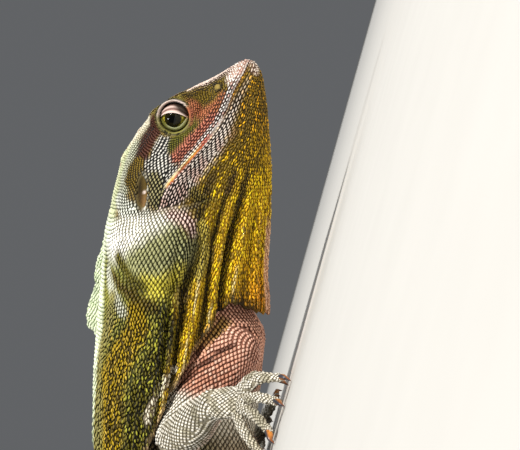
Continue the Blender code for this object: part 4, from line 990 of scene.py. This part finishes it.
def keratinHide(name, dullness, grain, coat, gaps=False):
    # dry reptile hide: horny scales, satin, with fine mottling and a low coat where they are worn smooth;
    # with gaps, each scale's own colour gives way at its edge to the darker colour between scales
    material, tree, shader = newMaterial(name, {"IOR": 1.36, "Coat Weight": coat, "Coat Roughness": 0.25})
    tint = addNode(tree, "Attribute", attribute_name="tint")
    place = addNode(tree, "TexCoord").outputs["Object"]
    fine = addNode(tree, "TexNoise", {"Vector": place}, in_Scale=1000 / grain, in_Detail=4,
                   in_Roughness=0.65)
    broad = addNode(tree, "TexNoise", {"Vector": place}, in_Scale=1000 / 14, in_Detail=3)
    source = tint.outputs["Color"]
    if gaps:
        between = addNode(tree, "Attribute", attribute_name="between")
        shown = addNode(tree, "MapRange", {"Value": tint.outputs["Alpha"]}, interpolation_type="SMOOTHSTEP",
                        in_1=0.4, in_2=0.6)
        links = {0: shown.outputs[0], 6: between.outputs["Color"], 7: source}
        source = addNode(tree, "Mix", links, data_type="RGBA").outputs[2]
    shades = {}
    for i, noise, low, high in ((0, fine, 0.78, 1.18), (1, broad, 0.86, 1.12)):
        shades[i] = addNode(tree, "MapRange", {"Value": noise.outputs["Fac"]}, in_1=0.3, in_2=0.7, in_3=low,
                            in_4=high).outputs[0]
    both = addNode(tree, "Math", shades, operation="MULTIPLY")
    colour = addNode(tree, "VectorMath", {0: source, "Scale": both.outputs[0]}, operation="SCALE")
    rough = addNode(tree, "MapRange", {"Value": fine.outputs["Fac"]}, in_1=0.25, in_2=0.75,
                    in_3=dullness - 0.08, in_4=dullness + 0.12)
    bump = addNode(tree, "Bump", {"Height": fine.outputs["Fac"]}, in_Strength=0.25, in_Distance=0.0002)
    for node, key in ((colour, "Base Color"), (rough, "Roughness"), (bump, "Normal")):
        tree.links.new(node.outputs[0], shader.inputs[key])
    return material


# satin horny scales, and the duller soft skin between them
scaleMaterial = keratinHide("horny_scales", dullness=0.5, grain=0.45, coat=0.05, gaps=True)
skinMaterial = keratinHide("hide_between_scales", dullness=0.6, grain=0.3, coat=0)

# ---- the skin: one closed surface for each form, joined in one piece ----

print("skin")
# the scales' random number, how much of their colour the skin shows, and points round and along each form
skinLook = {"pick": 0.3, "share": 0.08, "frillShare": 0.12, "inner": "#a8745c", "head": (280, 124),
            "frill": (330, 42), "trunk": (64, 110, 140), "limb": (30, 30), "toe": (14, 18)}


def ringAngles(count, first=-180):
    return np.linspace(first, first + 360, count, endpoint=False)[None, :]


def onFloor(points):
    return np.maximum(points, (-math.inf, -math.inf, 0))


def skinTone(points, colours, place, share=skinLook["share"]):
    # the colour between the scales, with a share of the scales' own
    place = (np.broadcast_to(q, points.shape[:-1]) for q in (*place, skinLook["pick"]))
    scale, gap = colours(points, *place)
    return mix(gap, scale, share)


def fleshParts(name):
    # name, kind and surface of each part of a limb but its claws
    kinds = {part: part.rstrip("01234") for part in limbParts[name]}
    return [(part, kind, limbPoint(limbParts[name][part], kind)) for part, kind in kinds.items()
            if kind != "claw"]


# head: its last two rings turn inwards under the frill; the ear, the fold at the mouth's corner and the
# orbit are bare of scales, so the skin has their full colour there
around, along = skinLook["head"]
a, v = ringAngles(around), np.concatenate([np.linspace(0, 1, along), [1, 1]])[:, None]
points = headPoint(a, v)
middle = points[-1].mean(0)
points[-2] = points[-2] + (middle - points[-2]) * 0.12
points[-1] = points[-1] + (middle - points[-1]) * 0.6
points[-2:, :, 0] -= 1.5
q = mirrorY(points)
bare = np.maximum.reduce([1 - ramp(earShape(q)[0], 1.2, 1.3), 1 - ramp(eyePlace(q, 1)[3], 6.6, 7.4),
                          bell(aboveLip(points) - 0.1, 0.6, 4) * ramp(points[..., 0], 136, 138)])
skinForms = [closedTube(points, skinTone(points, hideColours, (a, v), bare))]

# frill: outer face out to the free edge, round it, and back along the inner face
around, along = skinLook["frill"]
a = np.linspace(-frillForm["lastAngle"], frillForm["lastAngle"], around)[None, :]
v = np.linspace(1, 2, along)[:, None]
outer, inner = frillPoint(a, v), frillPoint(a, v[::-1], 1)
edge = (outer[-1] + inner[0]) / 2 + unit(outer[-1] - outer[-2]) * 0.4
sheet = np.concatenate([outer, edge[None], inner])
tone = skinTone(sheet, hideColours, (a, np.concatenate([v, [[2]], v[::-1]])), skinLook["frillShare"])
tone[along + 1:] = mix(tone[along + 1:], skinLook["inner"], 0.5)
skinForms.append(closedSheet(sheet, tone))

around, front, rear = skinLook["trunk"]
a = ringAngles(around)
x = np.concatenate([np.linspace(126, -85, front), np.linspace(-88, -596, rear)])[:, None]
points = onFloor(trunkPoint(a, x))
skinForms.append(closedTube(points, skinTone(points, trunkColours, (a, x))))

for name in limbs:
    for part, kind, surface in fleshParts(name):
        around, along = skinLook.get(kind, skinLook["limb"])
        u, v = ringAngles(around, 0), np.linspace(0.01, 0.99, along)[:, None]
        points = onFloor(surface(u, v))
        tone = skinTone(points, lambda p, u, v, pick: limbColours(p, name, kind, u, v, pick), (u, v))
        skinForms.append(closedTube(points, tone))

skin = joinForms("skin", skinForms)
skin.data.materials.append(skinMaterial)
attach(skin, "root")
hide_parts(*[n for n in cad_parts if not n.startswith("eye")])
print("skin triangles", len(skin.data.polygons) * 2)

# ---- the scales ----

print("scales")


def skullSize(p, a, v):
    # granules on the snout and crown, larger on the temple and nape
    nape = ramp(v, 0.7, 0.95) * ramp(np.abs(a), 120, 150)
    temple = ramp(v, 0.42, 0.6) * (1 - ramp(np.abs(a), 116, 136))
    temple = temple * ramp(nearLine(headMarks["below eye"][0], mirrorY(p))[0], 2, 3.5)
    return 0.86 + 0.56 * temple + 0.14 * nape, 1 + 0.7 * temple + 0.4 * nape


def throatSize(p, a, v):
    # long narrow scales from the chin to the free edge
    return 0.68 + 0.2 * ramp(v, 0.1, 0.9), 1.3 + 0.5 * ramp(v, 0.05, 0.5)


def frillSize(p, a, v):
    # large on the jowl, small and long beyond it
    share = v - 1
    jowl = (1 - ramp(share, 0.28, 0.4)) * (1 - ramp(np.abs(a), 128, 150))
    start = 1 - ramp(share, 0, 0.09)
    return 1.22 + (0.33 - 0.4 * start) * jowl, 2.15 - 0.15 * jowl - 0.5 * start * jowl


def offHead(p):
    # no scales in the eye's opening, the ear, the nostril and the mouth's line and corner
    x, q = p[..., 0], mirrorY(p)
    _, _, out, r, _ = eyePlace(q, 1)
    mouth = (np.abs(aboveLip(p) - 0.1) < 0.4) & (x > 136.5) & (x <= 153)
    pit = np.linalg.norm(q - np.array(nostril["at"]), axis=-1) < nostril["swell"]
    return (r < 5.8) & (out > -4) | (earShape(q)[0] < 1.1) | pit | mouth


# rows of plates along the lips: the first row's distance from the mouth's line, the step and the count
lipRows = {"below": (0.72, 0.92, 8), "above": (0.66, 0.82, 6)}
arcAngles, arcPlaces = np.linspace(0, 180, 241), np.linspace(0, 1, 301)
arcPoints = headPoint(arcAngles[None, :], arcPlaces[:, None])
arcHeight = np.cumsum(np.linalg.norm(np.diff(arcPoints, axis=1), axis=-1), axis=1)
arcHeight = np.concatenate([np.zeros((len(arcPlaces), 1)), arcHeight], axis=1)
arcHeight -= np.array([[np.interp(0, d, reach)] for d, reach in zip(aboveLip(arcPoints), arcHeight)])


def lipArc(a, v):
    # distance along the hide above the mouth's line, read from the table between its four nearest places
    i, j = np.clip(v, 0, 1) * (len(arcPlaces) - 1.001), np.abs(a) / 180 * (len(arcAngles) - 1.001)
    i0, j0 = i.astype(int), j.astype(int)
    i, j = i - i0, j - j0
    return ((1 - i) * ((1 - j) * arcHeight[i0, j0] + j * arcHeight[i0, j0 + 1])
            + i * ((1 - j) * arcHeight[i0 + 1, j0] + j * arcHeight[i0 + 1, j0 + 1]))


def lipReach(x):
    # how far the rows along the lips reach below and above the mouth's line
    below, above = (start + step * (count - 0.5) for start, step, count in lipRows.values())
    taper = 0.45 + 0.55 * ramp(-x, -179, -162)
    return below * taper, above * taper * ramp(x, 132, 146)


def lipRow(sign, height, spacing, shift):
    # angles, stations and headings of plates set along the lips at this distance above the mouth's line
    at = np.array([np.interp(height, row, arcAngles) for row in arcHeight]) * sign
    line = headPoint(at, arcPlaces)
    reach = np.concatenate([[0], np.cumsum(np.linalg.norm(np.diff(line, axis=0), axis=-1))])
    place = np.arange(1.5 + spacing * shift, reach[-1] - 0.3, spacing)
    ahead = np.stack([np.interp(place + 0.8, reach, part) - np.interp(place - 0.8, reach, part)
                      for part in line.T], -1)
    below, above = lipReach(np.interp(place, reach, line[:, 0]))
    keep = np.where(height < 0, -height < below, height < above)
    return np.interp(place, reach, at)[keep], np.interp(place, reach, arcPlaces)[keep], ahead[keep]


def hideLap(p, a, v):
    # granules on the head, lapping scales further back
    return np.clip(0.15 + ramp(v, 0.85, 1.15) + 0.6 * (1 - ramp(np.abs(a), 60, 80)), 0, 1)


def hideOpen(p, a, v):
    # how much of the dark between scales shows, their darker skin and painted shade beside the raised
    # scales:
    # most on the temple and jaw, least on the crown and jowl
    q, root, share = mirrorY(p), np.abs(a), v - 1
    near = np.minimum(*(nearLine(headMarks[key][0], q)[0] for key in ("temple", "cheek")))
    temple = 1 - ramp(near, 2.5, 5)
    head = 0.4 - 0.3 * ramp(root, 128, 145) * (1 - ramp(p[..., 0], 156, 164)) + 0.25 * temple
    jowl = (1 - ramp(share, 0.28, 0.4)) * band(root, 70, 84, 140, 150)
    frill = 0.5 - 0.4 * jowl * ramp(share, 0, 0.1) - 0.4 * ramp(root, 140, 155)
    return np.where(root < 64, 0.34 - 0.2 * ramp(v, 0.3, 0.8), np.where(v < 1, head, frill))


def hideStray(p, a, v):
    # how far scales stray from their rows: most on the throat and over the frill's side
    root = np.abs(a)
    temple = ramp(v, 0.42, 0.6) * ramp(root, 84, 92)
    wild = np.where(root < 66, 0.34 - 0.1 * ramp(v, 0.6, 1), 0.15 * (1 - temple) * (v < 1) + 0.04)
    return wild + 0.3 * ramp(v, 1.3, 1.5) * (root > 66) * (1 - ramp(root, 140, 155))


# each zone: its angles and places, size of scales, grid, anchor line and whether its rows are even
hideZones = {"skull": ((55, 179.6), (0.012, 1), skullSize, (320, 300), 100, True),
             "throat": ((0.5, 110), (0.012, 1.985), throatSize, (380, 480), 30, False),
             "frill": ((58, 175.5), (0.96, 1.985), frillSize, (320, 300), 92, False)}
for side, sign in (("right", -1), ("left", 1)):
    head, frill = [], []
    for zone, ((start, stop), reach, sizeAt, grid, anchor, even) in hideZones.items():
        us, vs = scatter(hidePoint, (sign * start, sign * stop), reach, sizeAt, grid, sign * anchor, even)
        points = hidePoint(us, vs)
        arc, (below, above) = lipArc(us, vs), lipReach(points[:, 0])
        border = 64 + 1.2 * ripple(points, 6)
        keep = {"skull": (arc > above) & (vs < 0.974),
                "throat": np.where(vs <= 1, arc < -below, np.abs(us) < border),
                "frill": (np.abs(us) >= border) & ((vs > 1) | (arc > above))}[zone]
        for coats, part, surface, reach, hidden in ((head, keep & (vs <= 1), headPoint, (0, 1), offHead),
                                                    (frill, keep & (vs > 1), frillPoint, (1, 2), None)):
            if part.any():
                coats.append(scaleCoat(
                    surface, us[part], vs[part], sizeAt, hideColours, steps=(0.5, 0.005),
                    span=((-180, 180), reach), drop=hidden, lift=0.46, lap=hideLap, stray=hideStray,
                    openness=hideOpen))
    for way, key, wider in ((-1, "below", 0.7), (1, "above", 0.3)):
        start, step, count = lipRows[key]
        for k in range(count):
            long = 1.3 + 0.5 * min(k, 2) * wider
            us, vs, lie = lipRow(sign, way * (start + step * k), long, 0.5 * (k % 2))
            head.append(scaleCoat(
                headPoint, us, vs, lambda p, a, v: (step * 0.98, long * 1.16), hideColours,
                steps=(0.5, 0.005), span=((-180, 180), (0, 1)), drop=offHead, lift=0.5, lap=0.35,
                stray=0.07, lie=lie,
                openness=lambda p, a, v: (0.5 if k else 0.15) - 0.3 * ramp(p[..., 0], 168, 176)))
    joinCoats(f"head_scales_{side}", head)
    joinCoats(f"frill_scales_{side}", frill)


def trunkSize(p, a, back):
    # about 1.9 mm on the trunk; on the tail they shrink with its girth
    girth = 2 * math.pi * np.maximum(smoothTable(coreTable, -back)[..., 2], 0.6)
    wide = np.minimum(1.9 - 0.25 * ramp(-back, 40, 90), girth / 18)
    return wide, wide * (1.05 + 0.25 * ramp(back, 80, 140))


def offTrunk(p):
    return np.any([insideBalls(p, limbParts[name][part].balls) < -0.5
                   for name in limbs for part in ("upper", "lower")], axis=0)


def trunkAt(a, back):
    return trunkPoint(a, -back)


for part, start, stop, grid, hidden, slot in (("trunk", -106, 84, (220, 240), offTrunk, "body_skin"),
                                              ("tail", 84, 594, (110, 420), None, "tail_skin")):
    coats = []
    for sign in (-1, 1):
        us, vs = scatter(trunkAt, (sign * 0.4, sign * 179.6), (start, stop), trunkSize, grid, sign * 100)
        coats.append(scaleCoat(
            trunkAt, us, vs, trunkSize, lambda p, a, back, pick: trunkColours(p, a, -back, pick),
            steps=(0.8, 0.4), span=((-180, 180), (start, stop)), drop=hidden, lift=0.3))
    joinCoats(f"{part}_scales", coats)

limbScales = {"upper": (1.65, 1.75), "lower": (1.55, 1.6), "palm": (1.3, 1.35), "toe": (1.15, 1.1)}
for group, bigger in (("fore", 1), ("hind", 1.12)):
    coats = []
    for index, name in enumerate(n for n in limbs if n.startswith(group)):
        for place, (part, kind, surface) in enumerate(fleshParts(name)):
            others = [limbParts[name][other].balls for other, _, _ in fleshParts(name) if other != part]

            def sizeHere(p, u, v):
                shrink = 1 - 0.45 * ramp(v, 0.75, 1) * (kind == "toe")
                return [size * bigger * shrink for size in limbScales[kind]]

            def dropHere(p):
                hidden = np.any([insideBalls(p, balls) < -0.35 for balls in others], axis=0)
                return hidden | (insideTrunk(p) < -0.6)

            us, vs = scatter(surface, (0, 360), (0.03, 0.97), sizeHere, (90, 90), 90)
            # each part has its own cell of the bake map, four to a row
            row, col = divmod(place, 4)
            x0, y0 = 0.5 * index + 0.125 * col, 0.5 * row
            coats.append(scaleCoat(
                surface, us, vs, sizeHere, lambda p, u, v, pick: limbColours(p, name, kind, u, v, pick),
                steps=(2, 0.008), span=((0, 360), (0, 1)), drop=dropHere, lift=0.36,
                cell=(x0, y0, x0 + 0.12, y0 + 0.48), openness=0.26 if kind in ("upper", "lower") else 0.15))
    joinCoats(f"{group}_limb_scales", coats)

# ---- eyes and lids ----

print("eyes")
# radii of pupil, dark inner iris and iris, rise of the cornea, and where the eye looks
eyeLook = {"pupil": 1.15, "dark": 2.6, "iris": 4, "bulge": 0.25, "across": -0.4, "over": -0.75,
           "away": 4.2, "grid": (90, 96)}
# the rim and the free edge lie this far from the eye's axis at the corners, the lid this far off the ball
lidForm = {"rim": 4.8, "edge": 4.3, "over": 0.42, "inside": 0.1, "folds": 2.4, "rise": 0.14,
           "grid": (80, 36)}
# height of the free edge as a + bk + ckk over the place k across the eye, width of its welt, depth of the
# folds and swelling of the middle
lids = {"upper": {"way": 1, "edge": (1.2, -0.82, -1.3), "welt": 0.13, "fold": 0.15, "swell": 0.2},
        "lower": {"way": -1, "edge": (-3.45, -0.25, 3.4), "welt": 0.4, "fold": 0.02, "swell": 0}}


def eyeTint(r, angle):
    # black pupil, nearly black inner iris with a few olive rays, mottled olive gold outer iris, dark rim
    pupil, dark, iris = (eyeLook[key] for key in ("pupil", "dark", "iris"))
    rays = 0.5 + 0.5 * np.sin(angle * 23 + 2 * np.sin(angle * 7))
    tone = mix("#030302", mix("#080702", "#2a250a", rays * 0.6), ramp(r, pupil, pupil + 0.15))
    outer = mix("#5c5616", "#b9ad3a", 0.5 + 0.5 * np.sin(angle * 17 + r * 5 + 1.5 * np.sin(angle * 5)))
    tone = mix(tone, outer, ramp(r + 0.12 * np.sin(angle * 11), dark, dark + 0.35))
    return mix(tone, "#0d0b06", ramp(r, iris - 0.25, iris))


def lidTone(kind, s, t, welt):
    # s runs along the lid and t from its rim to the free edge
    if kind == "upper":
        # folds with darker hollows, painted shade
        tone = mix("#d6bbb0", "#6e4c42", 0.5 - 0.5 * np.cos(2 * math.pi * t * lidForm["folds"]))
        # painted shadow over the lid's far end
        tone = mix(tone, "#241a0e", ramp(s + 0.25 * (1 - t), 0.62, 0.8) * (1 - welt) * 0.95)
        # painted shade near the rim; the welt pale, partly its own colour and partly a painted highlight
        tone = mix(mix(tone, "#140d08", 1 - ramp(t, 0.05, 0.3)), "#fae6de", welt)
        return mix(tone, "#5a3a1c", ramp(t, 0.95, 1))
    # the lower welt's pale crescent is a painted highlight on the wet edge
    tone = mix("#75742f", "#eef4c4", welt * ramp(s, 0.2, 0.5) * (1 - 0.5 * ramp(s, 0.9, 1)))
    # painted shade near the rim
    return mix(mix(tone, "#1d1a0b", 1 - ramp(t, 0, 0.3)), "#4d4a1c", ramp(t, 0.93, 1))


# clear cornea over a dark iris: very smooth with a thin coat
wetEye, tree, shader = newMaterial("wet_eye", {"Roughness": 0.06, "IOR": 1.3, "Coat Weight": 0.06,
                                               "Coat Roughness": 0.02})
tint = addNode(tree, "Attribute", attribute_name="tint")
tree.links.new(tint.outputs["Color"], shader.inputs["Base Color"])
for side, sideName in ((-1, "right"), (1, "left")):
    # the ball is a sphere round the eye's centre, from its front (theta 0) to its back
    centre, right, up, out = eyeFrame(side)
    radius = eyeForm["radius"]
    gaze = unit(eyeLook["across"] * right + eyeLook["over"] * up + eyeLook["away"] * out)
    level = unit(np.cross(gaze, (0, 0, 1)))
    rows, around = eyeLook["grid"]
    theta, phi = np.linspace(0, math.pi, rows)[:, None], np.radians(ringAngles(around, 0))
    r = radius * np.sin(theta)
    domed = radius + eyeLook["bulge"] * (1 - ramp(r, 1.6, 3.2)) * (theta < 1.2)
    ring = np.cos(phi)[..., None] * level + np.sin(phi)[..., None] * np.cross(level, gaze)
    points = centre + domed[..., None] * (np.cos(theta)[..., None] * gaze + np.sin(theta)[..., None] * ring)
    tint = eyeTint(*np.broadcast_arrays(np.where(theta < 1.57, r, 9), phi))
    ball = addMesh(f"eyeball_{sideName}", *closedTube(points, tint))
    ball.data.materials.append(wetEye)
    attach(ball, "root")
    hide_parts(f"eye_{sideName}")
    for kind, form in lids.items():
        s, t = (np.linspace(0, 1, count) for count in lidForm["grid"])
        s, t = s[None, :], t[:, None]
        turn = math.pi * (1 - s) * form["way"]
        k = np.cos(turn)
        rim = lidForm["rim"] * k, lidForm["rim"] * np.sin(turn)
        edge = lidForm["edge"] * k, sum(c * k**n for n, c in enumerate(form["edge"]))
        across, over = (start + (stop - start) * t for start, stop in zip(rim, edge))
        # folds run round the eye; the free edge is a rounded welt
        welt = bell(1 - t, form["welt"])
        folds = form["fold"] * np.cos(2 * math.pi * t * lidForm["folds"]) * (1 - welt) * np.sin(math.pi * s)
        swell = form["swell"] * np.sin(math.pi * s) * np.sin(math.pi * t * 0.9)
        lidR = radius + lidForm["over"] + folds + lidForm["rise"] * welt + swell
        flat = across**2 + over**2
        outer = np.sqrt(np.maximum(lidR**2 - flat, 0.02))
        inner = np.sqrt(np.maximum((radius + lidForm["inside"]) ** 2 - flat, 0)) - 0.02
        front, rear = (centre + across[..., None] * right + over[..., None] * up + away[..., None] * out
                       for away in (outer, inner))
        tone = lidTone(kind, s, t, welt)
        tone = np.concatenate([tone, tone[::-1] * 0.5])
        lid = addMesh(f"{kind}_lid_{sideName}", *closedSheet(np.concatenate([front, rear[::-1]]), tone))
        lid.data.materials.append(skinMaterial)
        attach(lid, "root")

# ---- claws ----

print("claws")
# horn colour at the root and the tip, grey upper face, and points round and along
clawLook = {"root": "#e39038", "tip": "#8a4a1a", "upper": "#3a3a42", "grid": (12, 16)}
clawForms = []
for parts in limbParts.values():
    for tubeAt in (parts[part] for part in parts if part.startswith("claw")):
        around, along = clawLook["grid"]
        u, v = ringAngles(around, 0), np.linspace(0, 0.995, along)[:, None]
        upper = ramp(np.sin(np.radians(u)), 0.3, 0.8) * ramp(v, 0, 0.15)
        tone = mix(clawLook["root"], clawLook["tip"], ramp(v, 0.35, 0.9))
        tone = mix(tone, clawLook["upper"], upper)
        clawForms.append(closedTube(onFloor(tubeAt(u, v)), tone))
claws = joinForms("claws", clawForms)
# smooth glossy horn
claws.data.materials.append(keratinHide("claw_horn", dullness=0.28, grain=0.8, coat=0.4))
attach(claws, "root")

# ---- floor, light and camera ----

print("stage")
# a pale, matt painted floor
floorMaterial, tree, shader = newMaterial("pale_matt_floor", {"Roughness": 0.85})
place = addNode(tree, "TexCoord").outputs["Object"]
grain = addNode(tree, "TexNoise", {"Vector": place}, in_Scale=60, in_Detail=3)
floorTone = addNode(tree, "Mix", {0: grain.outputs["Fac"]}, data_type="RGBA", in_6=(*srgb("#cbc9c4"), 1),
                    in_7=(*srgb("#d3d1cc"), 1))
tree.links.new(floorTone.outputs[2], shader.inputs["Base Color"])
bpy.ops.mesh.primitive_plane_add(size=8, location=(0, 0, -0.0002))
floor = bpy.context.object
floor.name = "floor"
floor.data.materials.append(floorMaterial)

world = bpy.data.worlds.new("studio")
bpy.context.scene.world = world
world.use_nodes = True
background = world.node_tree.nodes["Background"]
background.inputs[0].default_value = (0.55, 0.57, 0.6, 1)
background.inputs[1].default_value = 0.22


def stand(name, data, at, axes):
    # a light or camera at a point in metres, with its right, up and backward directions
    obj = bpy.data.objects.new(name, data)
    obj.matrix_world = Matrix([(*row, where) for row, where in zip(np.stack(axes, 1), at)] + [(0, 0, 0, 1)])
    bpy.context.scene.collection.objects.link(obj)
    return obj


# each light: where it stands, what it points at, size, power and colour
lights = {"key": ((1.35, -1.6, 1.7), (0.12, 0, 0.04), 0.36, 96, (1, 0.97, 0.92)),
          "fill": ((-0.69, -1.4, 1.82), (0.12, 0, 0.04), 0.24, 12, (0.93, 0.96, 1)),
          "back": ((0.4, 2.2, 1.6), (0, 0, 0.04), 1.4, 22, (1, 1, 1))}
for name, (at, target, size, power, colour) in lights.items():
    data = bpy.data.lights.new(name, "AREA")
    data.size, data.energy, data.color = size, power, colour
    back = unit(np.subtract(at, target))
    sideways = unit(np.cross((0, 0, 1), back))
    stand(name, data, at, (sideways, np.cross(back, sideways), back))

# the photo's view: the floor stands for the upright surface, so the camera is rolled
view = {"pixel": 0.336, "columns": 520, "lean": 15, "round": 10, "away": 450, "target": (129.62, 0, 23.33),
        "eyeHeight": 7, "film": 36}
target = np.array(view["target"])
sink = -math.asin((target[2] - view["eyeHeight"]) / view["away"])
turn, lean = math.radians(view["round"]), math.radians(view["lean"])
way = np.array([math.sin(turn) * math.cos(sink), -math.cos(turn) * math.cos(sink), math.sin(sink)])
rightWay = unit(np.cross(-way, (math.cos(lean), 0, math.sin(lean))))
cameraData = bpy.data.cameras.new("camera")
cameraData.sensor_fit = "HORIZONTAL"
cameraData.sensor_width = view["film"]
cameraData.lens = view["film"] * view["away"] / (view["columns"] * view["pixel"])
cameraData.clip_start = 0.01
at = (target + view["away"] * way) * mm
camera = stand("camera", cameraData, at, (rightWay, np.cross(rightWay, -way), way))
bpy.context.scene.camera = camera
bpy.context.scene.view_settings.view_transform = "Standard"
